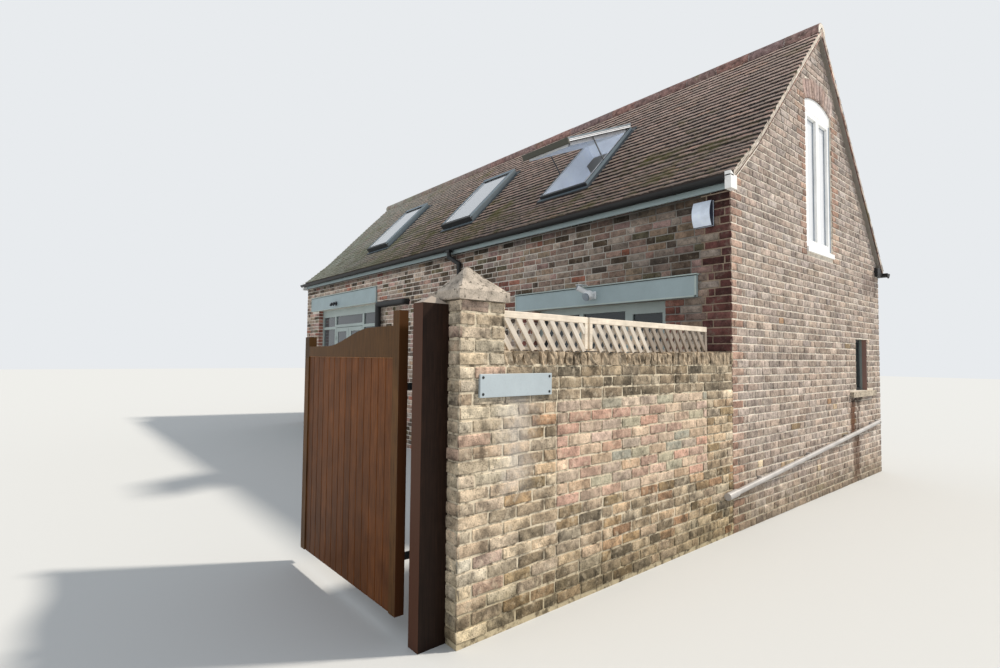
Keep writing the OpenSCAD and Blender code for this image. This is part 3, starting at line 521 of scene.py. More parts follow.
def float_glass(name, code, through, mirror, pale):
    """Float glass: dark and clear seen square on, a mirror at a low angle, where its colour is
    also painted pale as a reflection.
    """
    mat, tree, surface, place = begin(name)
    wave = add(tree, "ShaderNodeTexNoise", {"Vector": place, "Scale": 1.6, "Detail": 1.0})
    dust = add(tree, "ShaderNodeTexNoise", {"Vector": place, "Scale": 30.0, "Detail": 6.0})
    rough = add(tree, "ShaderNodeMapRange", {0: dust, 1: 0.4, 2: 0.8, 3: 0.02, 4: 0.09})
    slant = add(tree, "ShaderNodeLayerWeight", {"Blend": 0.5}, out="Facing")
    bright, sky = (add(tree, "ShaderNodeMapRange", {0: slant, 1: 0.30, 2: 0.72, 3: 0.02, 4: most})
                   for most in (mirror, pale))
    # at a low angle the colour turns pale: a painted reflection of the bright world
    base = add(tree, "ShaderNodeMix", {"Factor": sky, 6: rgba(code), 7: rgba("#fafcff")},
               out=2, data_type="RGBA")
    tree.links.new(bright, surface.inputs["Metallic"])
    tree.links.new(rough, surface.inputs["Roughness"])
    return dress(mat, surface, base, 0.05, [(wave, 0.04, 0.002)],
                 IOR=1.5, Transmission_Weight=through)


# ---- mesh helpers --------------------------------------------------------------

def link(obj):
    bpy.context.scene.collection.objects.link(obj)
    return obj


def to_mesh(bm, name="mesh"):
    mesh = bpy.data.meshes.new(name)
    bm.to_mesh(mesh)
    bm.free()
    return mesh


def place_piece(shape, name, mats, body, slot, *replaced):
    """Puts a finished shape in the scene and says what it rides on."""
    mesh = to_mesh(shape) if isinstance(shape, bmesh.types.BMesh) else shape
    mesh.name = name
    for mat in (mats if isinstance(mats, list) else [mats]):
        mesh.materials.append(mat)
    mesh.polygons.foreach_set("use_smooth", [False] * len(mesh.polygons))
    obj = link(bpy.data.objects.new(name, mesh))
    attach(obj, body)
    if replaced:
        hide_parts(*replaced)


def faces_of(verts):
    return list(dict.fromkeys(f for v in verts for f in v.link_faces))


def edges_of(verts):
    return list(dict.fromkeys(e for v in verts for e in v.link_edges))


def verts_of(faces):
    return list(dict.fromkeys(v for f in faces for v in f.verts))


def rounded(bm, edges, offset, segments=1, clamp=False):
    """Bevels edges and gives the new faces."""
    return bmesh.ops.bevel(bm, geom=edges, offset=offset, segments=segments, profile=0.5,
                           affect="EDGES", material=-1, clamp_overlap=clamp)["faces"]


def add_box(bm, low, high, bevel=0.0, segments=2, mat=0):
    """Adds a box between two corners, rounded by bevel."""
    low, high = Vector(low), Vector(high)
    m = Matrix.Translation((low + high) / 2) @ Matrix.Diagonal((*(high - low), 1.0))
    verts = bmesh.ops.create_cube(bm, size=1.0, matrix=m)["verts"]
    for f in faces_of(verts):
        f.material_index = mat
    if bevel:
        faces = rounded(bm, edges_of(verts), bevel, segments, True)
        verts = list(dict.fromkeys(verts_of(faces) + [v for v in verts if v.is_valid]))
    return verts


def add_rod(bm, a, b, radius, sides=16, mat=0, far_radius=None):
    """Adds a round bar between two points."""
    a, b = Vector(a), Vector(b)
    d = b - a
    m = Matrix.Translation((a + b) / 2) @ d.to_track_quat("Z", "Y").to_matrix().to_4x4()
    verts = bmesh.ops.create_cone(bm, cap_ends=True, segments=sides, radius1=radius,
                                  radius2=radius if far_radius is None else far_radius,
                                  depth=d.length, matrix=m)["verts"]
    for f in faces_of(verts):
        f.material_index = mat
    return verts


def points_tree():
    """Geometry Nodes: one shape on each point, turned and sized by attributes."""
    g = bpy.data.node_groups.get("shape on points")
    if g:
        return g
    g = bpy.data.node_groups.new("shape on points", "GeometryNodeTree")
    g.interface.new_socket("Geometry", in_out="INPUT", socket_type="NodeSocketGeometry")
    g.interface.new_socket("Shape", in_out="INPUT", socket_type="NodeSocketObject")
    g.interface.new_socket("Geometry", in_out="OUTPUT", socket_type="NodeSocketGeometry")
    points = add(g, "NodeGroupInput")
    shape = points.node.outputs[1]
    turn = add(g, "GeometryNodeInputNamedAttribute", {"Name": "turn"}, data_type="FLOAT_VECTOR")
    turn = add(g, "FunctionNodeEulerToRotation", {0: turn})
    size = add(g, "GeometryNodeInputNamedAttribute", {"Name": "size"}, data_type="FLOAT_VECTOR")
    shape = add(g, "GeometryNodeObjectInfo", {"Object": shape, "As Instance": True},
                out="Geometry")
    put = add(g, "GeometryNodeInstanceOnPoints", {
        "Points": points, "Instance": shape, "Rotation": turn, "Scale": size})
    put = add(g, "GeometryNodeRealizeInstances", {0: put})
    add(g, "NodeGroupOutput", {0: put})
    return g


def scatter(shape, spots):
    """Copies a mesh to spots, each (place, turn, size, tint)."""
    bm = bmesh.new()
    for spot in spots:
        bm.verts.new(spot[0])
    mesh = to_mesh(bm, "points")
    for name, kind, k in (("turn", "FLOAT_VECTOR", 1), ("size", "FLOAT_VECTOR", 2),
                          ("tint", "FLOAT_COLOR", 3)):
        layer = mesh.attributes.new(name, kind, "POINT")
        flat = [c for spot in spots for c in spot[k]]
        layer.data.foreach_set("color" if k == 3 else "vector", flat)
    holder = bpy.data.objects.new("points", mesh)
    template = bpy.data.objects.new("shape", shape)
    link(holder)
    link(template)
    mod = holder.modifiers.new("shape on points", "NODES")
    mod.node_group = points_tree()
    key = [i.identifier for i in mod.node_group.interface.items_tree if i.name == "Shape"][0]
    mod[key] = template
    bpy.context.view_layer.update()
    graph = bpy.context.evaluated_depsgraph_get()
    out = bpy.data.meshes.new_from_object(holder.evaluated_get(graph))
    for o in (holder, template):
        bpy.data.objects.remove(o)
    for name in ("turn", "size"):
        if name in out.attributes:
            out.attributes.remove(out.attributes[name])
    return out


def joined(meshes):
    bm = bmesh.new()
    for m in meshes:
        bm.from_mesh(m)
        bpy.data.meshes.remove(m)
    return to_mesh(bm, "joined")


# ---- brickwork -----------------------------------------------------------------

SHADES = {
    "buff": "#b39c80 #c2ab8e #a58d6d #b8a68c #9c8768 #cbb89c #ab9a84 #b6a48f #a3927b "
            "#c4ad93 #8f7c62 #d2c2a9 #b79a7c #a9876a",
    "gable": "#ab9b8e #a39387 #b2a295 #a7968a #9d8d82 #b5a599 #a6978b #ad9d91 #a8998e "
             "#b0a094 #98897e #b8a99c",
    "mauve": "#ab9b91 #a5968d #b2a399 #a3948b #9a8c83 #b6a89e #a7998f",
    "quoin": "#ab8f81 #a48676 #b09788 #a08273 #b19a8a #9d8071 #a98d7e",
    "infill": "#c0a18d #c8ae9c #b5a18f #c49f8c #aea893 #b8a795 #cab49d #b89a88 #aaa696 "
              "#d0baa3 #b79f86",
    "front": "#ab998c #b0998a #a38b7c #b5a394 #a58d78 #ac9082 #b8a797 #9c8a76 #b3938a "
             "#bba99a #97877a #a8897d",
    "burnt": "#63564c #574b3d #6b5c51 #6f6650 #5d5044",
    "odd": "#a06a58 #b3a294 #a89a8c #a87361 #a2918a #96695c",
    "soot": "#5a4d43 #4f4239 #665649 #6d5c52",
    "burgundy": "#7a504c #8a5b55 #6f4743 #936660 #805350",
    "red": "#9a6659 #a57264 #8e5c52 #ad7c6e #956357",
    "arch": "#b39b90 #bca69b #aa9389 #c2aea4 #a88f85 #b79d93",
    "pier": "#c8b79f #b8a890 #d6c6ab #baa68f #c7b39a #aea08a #dccfb8 #bfa592",
    "coping": "#8d7d6a #9b8a74 #7c6d5c #927f6b #83766a #a5927a",
    "pinkish": "#a58573 #b0907f #9a7a6b #b59988",
    "old": "#9b8c77 #8b7d68 #a5957d #7d715f #b0a18a",
    "tile": "#7d6259 #8b6b61 #70554d #95756b #664e48 #825f55 #9c7d72 #735650 #8f6a58 "
            "#6b5752",
    "verge": "#c9beb1 #b3a699 #d6cbbd #a19488 #beb2a5",
    "ridge": "#7a6460 #826b66 #705c58 #80635c",
}


def shade(rng, kind, spread=0.14):
    """One clay colour of a kind, a little lighter or darker each time."""
    r, g, b, a = linear(rng.choice(SHADES[kind].split()))
    k = 1.0 + rng.uniform(-spread, spread)
    warm = 1.0 + rng.uniform(-0.04, 0.04)
    return (min(1, r * k * warm), min(1, g * k), min(1, b * k / warm), 1.0)


def toned(colour, k):
    return (colour[0] * k, colour[1] * k, colour[2] * k, 1.0)


class Side:
    """An upright face that bricks are laid on, seen from its outside."""

    def __init__(self, x, y, turn):
        self.start = Vector((x, y, 0)) + CORNER
        self.turn = math.radians(turn)
        m = Matrix.Rotation(self.turn, 3, "Z")
        self.across, self.out = m @ Vector((1, 0, 0)), m @ Vector((0, -1, 0))

    def spot(self, u, z, out):
        return self.start + self.across * u + Vector((0, 0, z)) + self.out * out


BRICKS = {}


def brick_face(long, tall, number, fine):
    """A brick's outer 14 mm: rounded and out of true, open at the back."""
    key = (round(long, 4), round(tall, 4), number, fine)
    if key in BRICKS:
        return BRICKS[key]
    rng = random.Random(repr(key))
    bm = bmesh.new()
    add_box(bm, (-long / 2, 0, -tall / 2), (long / 2, 0.014, tall / 2))
    bmesh.ops.delete(bm, geom=[f for f in bm.faces if f.normal.y > 0.9], context="FACES_ONLY")
    if fine:
        along = [e for e in bm.edges if abs(e.verts[0].co.x - e.verts[1].co.x) > long / 2]
        bmesh.ops.subdivide_edges(bm, edges=along, cuts=4 if long > 0.15 else 2,
                                  use_grid_fill=True)
    rim = [e for e in bm.edges if len(e.link_faces) == 2 and
           abs(e.link_faces[0].normal.dot(e.link_faces[1].normal)) < 0.5]
    rounded(bm, rim, 0.004)
    wear = 0.0026 if fine else 0.0016
    for v in bm.verts:
        if v.co.y < 0.009:
            v.co += Vector((rng.uniform(-1, 1) * wear, rng.uniform(-0.5, 1.0) * wear,
                            rng.uniform(-1, 1) * wear))
    # the lower arris is marked for its painted shadow: fully underneath, partly on the face
    shows = bm.verts.layers.float.new("edge")
    for v in bm.verts:
        if v.co.z < 0.006 - tall / 2:
            v[shows] = -1.0 if v.co.y > 0.003 else -0.45
    BRICKS[key] = to_mesh(bm, "brick")
    return BRICKS[key]


def cut_out(spans, a, b):
    """Takes a stretch from a to b out of the spans of a course."""
    out = []
    for u0, u1 in spans:
        if b <= u0 or a >= u1:
            out.append((u0, u1))
        else:
            if a > u0:
                out.append((u0, a))
            if b < u1:
                out.append((b, u1))
    return out


def bond(u0, u1, first, pattern, rng, jitter):
    """Cuts a stretch of a course into bricks, given as (middle, length)."""
    s = sizes()
    long = {"s": s.stretcher, "h": s.header, "q": s.header / 2, "k": 0.16}
    out, u, k = [], u0, 0
    order = first + pattern * 200
    while u < u1 - 0.02:
        end = min(u + long[order[k]] + rng.uniform(-jitter, jitter), u1)
        if u1 - end < 0.055:
            end = u1
        out.append(((u + end) / 2, end - u))
        u, k = end + s.joint, k + 1
    return out


def lay(name, side, z0, z1, spans_at, tint_at, mats, seed, slot, patterns=("s", "s"),
        firsts=("", "h"), jitter=0.006, fine=False, wild=1.0, body="house"):
    """Lays courses of bricks on a side of a wall as one piece."""
    s, rng, groups = sizes(), random.Random(seed), {}
    tall = s.course - s.joint
    for i in range(int((z1 - z0) / s.course + 0.999)):
        low = max(z0 + i * s.course + s.joint / 2, 0.002)
        high = min(z0 + i * s.course + s.joint / 2 + tall, z1)
        if high - low < 0.02:
            continue
        sway = rng.uniform(-0.0015, 0.0015)
        for u0, u1 in spans_at(low, high):
            if u1 - u0 < 0.03:
                continue
            for u, long in bond(u0, u1, firsts[i % 2], patterns[i % 2], rng, jitter):
                whole = long > (s.stretcher + s.header) / 2
                base = s.stretcher if whole else s.header
                turn = (rng.uniform(-0.012, 0.012) * wild, rng.uniform(-0.006, 0.006) * wild,
                        side.turn + rng.uniform(-0.006, 0.006) * wild)
                out = s.relief + rng.uniform(-0.002, 0.002) * wild
                groups.setdefault((base, rng.randrange(4)), []).append((
                    side.spot(u, (low + high) / 2 + sway, out), turn,
                    (long / base, 1.0, (high - low) / tall), tint_at(u, low, long, rng)))
    meshes = [scatter(brick_face(base, tall, number, fine), spots)
              for (base, number), spots in sorted(groups.items())]
    return place_piece(joined(meshes), name, mats, body, slot)


def lay_front():
    left = -HOUSE_LEN
    holes = [DOOR, WINDOW, (-0.222, 0.1, 0.0, 1.66)]
    for node in ("lintel_window", "lintel_door", "window_sill"):
        a, b = (v - CORNER for v in ends(node))
        holes.append((a.x, b.x, a.z, b.z))

    def spans(low, high):
        out, mid = [(0.0, HOUSE_LEN + 0.005)], (low + high) / 2
        for x0, x1, zlow, zhigh in holes:
            if zlow - 0.02 < mid < zhigh:
                out = cut_out(out, x0 - left, x1 - left)
        return out

    def tint(u, z, long, rng):
        x = u + left
        if x > -0.2 - 0.05 * (int(z / BRICK_STEP) % 2):
            return toned(shade(rng, "burgundy", 0.22), 0.78)
        near = 0.12 + 0.11 * (int(z / BRICK_STEP) % 2)
        if WINDOW[2] - 0.1 < z < WINDOW[3] + 0.02 and (
                WINDOW[0] - near < x < WINDOW[0] or WINDOW[1] < x < WINDOW[1] + near):
            return shade(rng, "red")
        if -3.62 < x < -3.1 and 2.2 < z < 2.62:
            return toned(shade(rng, "red"), 0.8)
        if DOOR[0] - near < x < DOOR[0] or DOOR[1] < x < DOOR[1] + near:
            return shade(rng, "red" if rng.random() < 0.6 else "front")
        # dark burnt bricks lie in drifts
        drift = math.sin(1.3 * x + 1.7) * math.sin(2.6 * z + 0.8)
        drift += 0.35 * math.sin(3.1 * x - 4.0 * z)
        if rng.random() < (0.42 if drift > 0.25 else 0.13):
            return shade(rng, "burnt", 0.2)
        return shade(rng, "odd" if rng.random() < 0.07 else "front", 0.24)

    mats = [made("fired brick of the front", fired_brick, "#a39787", 0.5, sooty_end)]
    lay("bricks_front", Side(left, 0, 0), 0, 3.24, spans, tint, mats, 11, "front_brick",
        patterns=("ssh", "shs"), firsts=("s", "hq"))


def gable_spans(low, high, flip, small):
    """The stretches of a gable course between verges, arch and windows."""
    front = 0.0 if low < roof_top(0) - 0.105 else roof_y(low + 0.105, False)
    back = HOUSE_DEP if low < roof_top(HOUSE_DEP) - 0.105 else roof_y(low + 0.105, True)
    if back - front < 0.05:
        return []
    mid = (low + high) / 2
    out = [(front - (0.005 if front == 0.0 else 0.0),
            back + (0.005 if back == HOUSE_DEP else 0.0))]
    half, a = ARCH_W / 2, 0.0
    if ARCH_Z - 0.02 < mid:
        if mid < SPRING:
            a = half
        else:
            a = (mid - ARCH_C) * math.tan(math.asin(half / ARCH_R))
            far = (ARCH_R + 0.215) ** 2 - (mid - ARCH_C) ** 2
            a = min(a, math.sqrt(far)) if far > 0 else 0.0
        if a:
            out = cut_out(out, ARCH_M - a, ARCH_M + a)
    if small and SMALL[2] - 0.08 < mid < SMALL[3]:
        y0, y1 = (3.17, 4.12) if mid < SMALL[2] else SMALL[:2]
        out = cut_out(out, y0, y1)
    return [(HOUSE_DEP - b, HOUSE_DEP - a) for a, b in reversed(out)] if flip else out


def lay_gables():
    mats = [made("fired brick of the gables", fired_brick, "#d6c8b2", 0.55, wall_weather)]
    for name, side, flip, seed in (
            ("bricks_gable_right", Side(0, 0, 90), False, 21),
            ("bricks_gable_left", Side(-HOUSE_LEN, HOUSE_DEP, -90), True, 22)):
        def tint(u, z, long, rng, flip=flip):
            y = HOUSE_DEP - u if flip else u
            near = 0.12 + 0.11 * (int(z / BRICK_STEP) % 2)
            jamb = ARCH_Z - 0.1 < z < SPRING and abs(y - ARCH_M) < ARCH_W / 2 + near * 0.8
            if y < near or jamb:
                return toned(shade(rng, "quoin"), 1.08)
            high = (z - 1.6) / 1.6 + rng.uniform(-0.5, 0.5)
            kind = "mauve" if high > 0.5 else "gable" if rng.random() < 0.985 else "buff"
            return toned(shade(rng, kind, 0.21), 1.06 + 0.05 * max(0.0, z - 3.6))

        lay(name, side, 0, 5.5, lambda low, high, f=flip: gable_spans(low, high, f, not f), tint,
            mats, seed, "brick", patterns=("sh", "sh"), firsts=("h", "sq"))


def lay_back():
    mats = [made("fired brick of the gables", fired_brick, "#d6c8b2", 0.55, wall_weather)]
    lay("bricks_back", Side(0, HOUSE_DEP, 180), 0, 2.80,
        lambda low, high: [(-0.005, HOUSE_LEN + 0.005)],
        lambda u, z, long, rng: shade(rng, "gable" if rng.random() < 0.7 else "mauve"),
        mats, 31, "brick", patterns=("sh", "sh"), firsts=("s", "hq"))


YARD_FOOT = -0.048                      # the first yard course starts below ground
INFILL = (-2.34, -0.47, 0.636, 1.320)   # later brickwork: y from, to, z from, to


def lay_yard_wall():
    mats = [made("fired brick of the yard wall", fired_brick, "#dccdb4", 0.9, wall_weather)]

    def outer(low, high):
        out = [(-0.005, PIER_Y if low < WALL_TOP - 0.04 else 0.325)]
        if INFILL[2] - 0.01 < low < INFILL[3] - 0.03:
            out = cut_out(out, INFILL[0] + PIER_Y - 0.012, INFILL[1] + PIER_Y + 0.014)
        return out

    def tint(u, z, long, rng):
        if u < 0.34:
            return shade(rng, "pier", 0.2)
        if z > 1.26:
            return shade(rng, "old", 0.2)
        if z < 0.2:
            return shade(rng, "buff" if rng.random() < 0.6 else "old", 0.2)
        return shade(rng, "old" if rng.random() < 0.18 else "buff", 0.22)

    lay("bricks_yard_wall", Side(0, -PIER_Y, 90), YARD_FOOT, PIER_TOP, outer, tint, mats, 41,
        "brick", firsts=("h", "s"), patterns=("sss", "ssh"), jitter=0.012, fine=True, wild=1.6)
    neat = [made("fired brick of the infill", fired_brick, "#d9c8ae", 0.5, wall_weather)]
    lay("bricks_infill", Side(0, INFILL[0], 90), INFILL[2], INFILL[3],
        lambda low, high: [(0.0, INFILL[1] - INFILL[0])],
        lambda u, z, long, rng: shade(rng, "infill", 0.1), neat, 42, "brick",
        firsts=("s", "h"), jitter=0.003, fine=True, wild=0.5)
    lay("bricks_yard_inner", Side(-0.225, 0, -90), YARD_FOOT, WALL_TOP,
        lambda low, high: [(0.0, WALL_LEN)],
        lambda u, z, long, rng: shade(rng, "buff" if rng.random() < 0.6 else "old", 0.2),
        mats, 43, "brick", firsts=("s", "h"), jitter=0.01)
    for name, side, wide, above, seed, firsts, fine, wild in (
            ("front", Side(-PIER_W, -PIER_Y, 0), PIER_W + 0.005, 0.0, 44, ("s", "h"), True, 1.4),
            ("inner", Side(-PIER_W, -WALL_LEN, -90), 0.325, 0.0, 45, ("h", "s"), False, 1.2),
            ("back", Side(0, -WALL_LEN, 180), PIER_W + 0.005, 1.64, 46, ("s", "h"), False, 1.2)):
        lay("bricks_pier_" + name, side, YARD_FOOT, PIER_TOP,
            lambda low, high, w=wide, a=above: [(-0.005, w)] if low > a else [],
            lambda u, z, long, rng: shade(rng, "pier", 0.2), mats, seed, "brick",
            firsts=firsts, jitter=0.008, fine=fine, wild=wild)


def lay_arches():
    """Arch bricks over the gable windows, tapered to the turn of the arch."""
    half, count = math.asin(ARCH_W / 2 / ARCH_R), 11
    wide = 2 * half / count
    mat = made("fired brick of the arches", fired_brick, "#c9b3a2", 0.5, None)
    for name, x, way, seed in (("arch_bricks_right", 0.0, 1, 51),
                               ("arch_bricks_left", -HOUSE_LEN, -1, 52)):
        rng, bm = random.Random(seed), bmesh.new()
        layer = bm.verts.layers.float_color.new("tint")
        for k in range(count):
            face = x + way * (0.007 + rng.uniform(-0.0015, 0.0015))
            back = x - way * 0.053
            verts = add_box(bm, (min(face, back), -0.5, ARCH_R - 0.003),
                            (max(face, back), 0.5, ARCH_R + 0.213))
            for v in verts:
                v.co.y *= v.co.z * wide - 0.010
            verts = verts_of(rounded(bm, edges_of(verts), 0.004))
            for v in verts:
                v.co += Vector([rng.uniform(-0.0012, 0.0012) for _ in range(3)])
            m = Matrix.Translation(Vector((0, ARCH_M, ARCH_C)) + CORNER)
            m = m @ Matrix.Rotation(half - (k + 0.5) * wide, 4, "X")
            bmesh.ops.transform(bm, matrix=m, verts=verts)
            tint = shade(rng, "arch")
            for v in verts:
                v[layer] = tint
        place_piece(bm, name, mat, "house", "red_brick")


def lay_reveals():
    """One brick end to each course on the sides of the openings."""
    mats = [made("fired brick of the front", fired_brick, "#a39787", 0.5, sooty_end)]
    for name, x, turn, z0, z1, seed in (
            ("reveal_window_left", WINDOW[0], 90, WINDOW[2], WINDOW[3], 61),
            ("reveal_window_right", WINDOW[1], -90, WINDOW[2], WINDOW[3], 62),
            ("reveal_door_left", DOOR[0], 90, 0.0, DOOR[3], 63),
            ("reveal_door_right", DOOR[1], -90, 0.0, DOOR[3], 64)):
        side = Side(x, 0.0 if turn > 0 else 0.1, turn)
        lay(name, side, math.floor(z0 / BRICK_STEP) * BRICK_STEP, z1,
            lambda low, high: [(0.0, 0.098)],
            lambda u, z, long, rng: shade(rng, "red"), mats, seed, "front_brick",
            firsts=("h", "h"), jitter=0.0, wild=0.5)


# ---- roof ------------------------------------------------------------------------

def tile_face(long, wide, number):
    """A plain clay tile from above: cambered, its lower corners worn."""
    key = ("tile", round(long, 4), number)
    if key in BRICKS:
        return BRICKS[key]
    rng = random.Random(repr(key))
    bm = bmesh.new()
    # the tile runs up the slope along +Y, its lower edge at 0, its top at z 0
    add_box(bm, (-wide / 2, 0, -0.020), (wide / 2, long, 0.0))
    bmesh.ops.delete(bm, geom=[f for f in bm.faces if f.normal.z < -0.9 or f.normal.y > 0.9],
                     context="FACES_ONLY")
    across = [e for e in bm.edges if abs(e.verts[0].co.x - e.verts[1].co.x) > wide / 2]
    bmesh.ops.subdivide_edges(bm, edges=across, cuts=3, use_grid_fill=True)
    for y in (0.034, long - 0.070, long - 0.052):
        bmesh.ops.bisect_plane(bm, geom=[*bm.verts, *bm.edges, *bm.faces], dist=1e-5,
                               plane_co=(0, y, 0), plane_no=(0, 1, 0))
    edge = [e for e in bm.edges if all(abs(v.co.y) < 1e-5 and v.co.z > -0.001 for v in e.verts)]
    rounded(bm, edge, 0.003)
    for v in bm.verts:
        if v.co.z > -0.01:
            v.co.z += 0.0028 * (1 - (v.co.x / (wide / 2)) ** 2) + rng.uniform(-0.0006, 0.0006)
        if v.co.y < 0.01:
            v.co.y += rng.uniform(-0.0025, 0.0025)
    # marks for painted light: pale wear and a painted highlight at the lower edge, a painted
    # shadow under the next course
    shows = bm.verts.layers.float.new("edge")
    for v in bm.verts:
        v[shows] = 1.0 if v.co.y < 0.026 else -1.0 if v.co.y > long - 0.056 else 0.0
    BRICKS[key] = to_mesh(bm, "tile")
    return BRICKS[key]


def steps(a, b, n):
    return [(a + (b - a) * i / n, a + (b - a) * (i + 1) / n) for i in range(n)]


def tile_courses(back):
    """Where each course starts and ends on a slope, counted as in the source."""
    if back:
        end = HOUSE_DEP - FOOT_Y
        return steps(end, RIDGE_Y, round((end - RIDGE_Y) / (TILE_STEP * 0.95)))
    return steps(FOOT_Y, KICK_Y, round((KICK_Y - FOOT_Y) / TILE_STEP)) \
        + steps(KICK_Y, RIDGE_Y, round((RIDGE_Y - KICK_Y) / TILE_STEP))


def clear_of_lights(x0, x1, y0, y1):
    """The stretches of a tile course left beside the rooflight flashings."""
    c = (RIDGE_Z - KICK_Z) / (RIDGE_Y - KICK_Y)
    reach = (LIGHT_L / 2 + 0.055) / math.sqrt(1 + c * c)
    spans = [(x0, x1)]
    for x in LIGHTS_X:
        if y1 > LIGHT_Y - reach and y0 < LIGHT_Y + reach:
            spans = cut_out(spans, x - LIGHT_W / 2 - 0.055, x + LIGHT_W / 2 + 0.055)
    return spans


def lay_tiles():
    s = sizes()
    mat = made("clay roof tile", clay_tile)
    for name, back, seed in (("tiles_front", False, 71), ("tiles_back", True, 72)):
        rng, groups = random.Random(seed), {}
        for i, (y0, y1) in enumerate(tile_courses(back)):
            z0, z1 = roof_top(y0) + 0.014, roof_top(y1)
            run = math.hypot(y1 - y0, z1 - z0)
            pitch = math.atan2(z1 - z0, abs(y1 - y0))
            cosp, sinp, down = math.cos(pitch), math.sin(pitch), 1 if back else -1
            spans = [(-HOUSE_LEN - VERGE, VERGE)]
            if not back:
                spans = clear_of_lights(*spans[0], y0, y1)
            for x0, x1 in spans:
                x = x0 + (0.0 if i % 2 else -s.tile_width / 2)
                while x < x1 - 0.01:
                    a, b = max(x, x0), min(x + s.tile_width, x1)
                    x += s.tile_width + 0.003
                    if b - a < 0.02:
                        continue
                    mid = (a + b) / 2
                    wave = 0.003 * math.sin(mid * 1.7 + i * 0.35)
                    wave += 0.0025 * math.sin(mid * 4.1 - i)
                    lift = 0.0065 + wave * 0.5 + rng.uniform(-0.0015, 0.003)
                    slip = rng.uniform(0.0, 0.005) + max(0.0, wave)
                    p = Vector((mid, y0 + down * slip * cosp, z0 - slip * sinp)) + CORNER
                    p += Vector((0, down * sinp, cosp)) * lift
                    turn = (pitch + rng.uniform(-0.010, 0.008), rng.uniform(-0.014, 0.014),
                            (math.pi if back else 0.0) + rng.uniform(-0.008, 0.008))
                    groups.setdefault((round(run, 3), rng.randrange(4)), []).append((
                        p, turn, ((b - a) / s.tile_width, 1.0, 1.0), shade(rng, "tile", 0.48)))
        meshes = [scatter(tile_face(run + 0.012, s.tile_width, number), spots)
                  for (run, number), spots in sorted(groups.items())]
        place_piece(joined(meshes), name, mat, "house", "roof_tile")


def lay_ridge():
    """Half-round ridge tiles, bedded in mortar at each joint."""
    rng = random.Random(81)
    bm = bmesh.new()
    layer = bm.verts.layers.float_color.new("tint")
    left, right, long = -HOUSE_LEN - VERGE, VERGE, 0.45
    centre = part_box("ridge")[1][2] - 0.1135
    x = left
    while x < right - 0.05:
        end = min(x + long, right)
        r = 0.112 + rng.uniform(-0.001, 0.001)
        axis = Vector((x, RIDGE_Y, centre)) + CORNER
        foot = axis + Vector((0, r * math.cos(-0.35), r * math.sin(-0.35)))
        before = set(bm.verts)
        start = [bm.verts.new(foot + Vector((d, 0, 0))) for d in (0.004, end - x - 0.004)]
        edge = bm.edges.new(start)
        bmesh.ops.spin(bm, geom=[edge, *start], cent=axis, axis=(1, 0, 0),
                       angle=math.pi + 0.7, steps=14, use_duplicate=False)
        tint = shade(rng, "ridge", 0.12)
        lift, tilt = rng.uniform(-0.0015, 0.0), rng.uniform(-0.002, 0.002)
        for v in bm.verts:
            if v not in before:
                v[layer] = tint
                v.co.z += lift + tilt * ((v.co.x - CORNER.x - x) / long - 0.5)
        x = end
    faces = list(bm.faces)
    bmesh.ops.recalc_face_normals(bm, faces=faces)
    bmesh.ops.solidify(bm, geom=faces, thickness=0.011)
    bmesh.ops.recalc_face_normals(bm, faces=list(bm.faces))
    place_piece(bm, "ridge_tiles", made("clay roof tile", clay_tile), "house", "roof_tile")
    # mortar core that shows in the joints and closes the ends
    bm = bmesh.new()
    r, axis = 0.1045, Vector((left + 0.002, RIDGE_Y, centre)) + CORNER
    foot = bm.verts.new(axis + Vector((0, r * math.cos(-0.5), r * math.sin(-0.5))))
    bmesh.ops.spin(bm, geom=[foot], cent=axis, axis=(1, 0, 0), angle=math.pi + 1.0, steps=20,
                   use_duplicate=False)
    bm.edges.new([v for v in bm.verts if len(v.link_edges) == 1])
    face = bmesh.ops.contextual_create(bm, geom=list(bm.edges))["faces"]
    out = bmesh.ops.extrude_face_region(bm, geom=face)
    moved = [v for v in out["geom"] if isinstance(v, bmesh.types.BMVert)]
    bmesh.ops.translate(bm, verts=moved, vec=(right - left - 0.004, 0, 0))
    bmesh.ops.recalc_face_normals(bm, faces=list(bm.faces))
    place_piece(bm, "ridge_bedding",
                made("lime mortar of the roof", lime_mortar, "front_mortar", None), "house",
                "mortar", "ridge")


def lay_verge():
    """Tile ends that show at the gables, three to each course, over mortar."""
    bm = bmesh.new()
    layer = bm.verts.layers.float_color.new("tint")
    rng = random.Random(91)
    mirror = Matrix.Diagonal((-1, 1, 1, 1))
    for side, edge in ((1, VERGE), (-1, -HOUSE_LEN - VERGE)):
        for y0, y1 in tile_courses(False) + tile_courses(True):
            z0, z1 = roof_top(y0), roof_top(y1)
            d = Vector((0, y1 - y0, z1 - z0))
            n = Vector((0, -d.z, d.y)).normalized()
            if n.z < 0:
                n = -n
            for depth in (0.004, 0.026, 0.046):
                a = Vector((edge - side * 0.010, y0, z0)) - n * depth - d * 0.02
                push = rng.uniform(-0.002, 0.0035)
                verts = add_box(bm, (-0.011, 0, -0.011), (0.0105 + push, d.length * 1.02, 0))
                if side < 0:
                    bmesh.ops.transform(bm, matrix=mirror, verts=verts)
                    bmesh.ops.reverse_faces(bm, faces=faces_of(verts))
                m = Matrix.Translation(a + CORNER) @ Matrix.Rotation(math.atan2(d.z, d.y), 4, "X")
                bmesh.ops.transform(bm, matrix=m, verts=verts)
                tint = shade(rng, "tile" if depth > 0.03 else "verge", 0.2)
                for v in verts:
                    v[layer] = tint
    place_piece(bm, "verge_tile_ends", made("clay roof tile", clay_tile), "house", "roof_tile")


# ---- coping, cap and yard pieces ----------------------------------------------

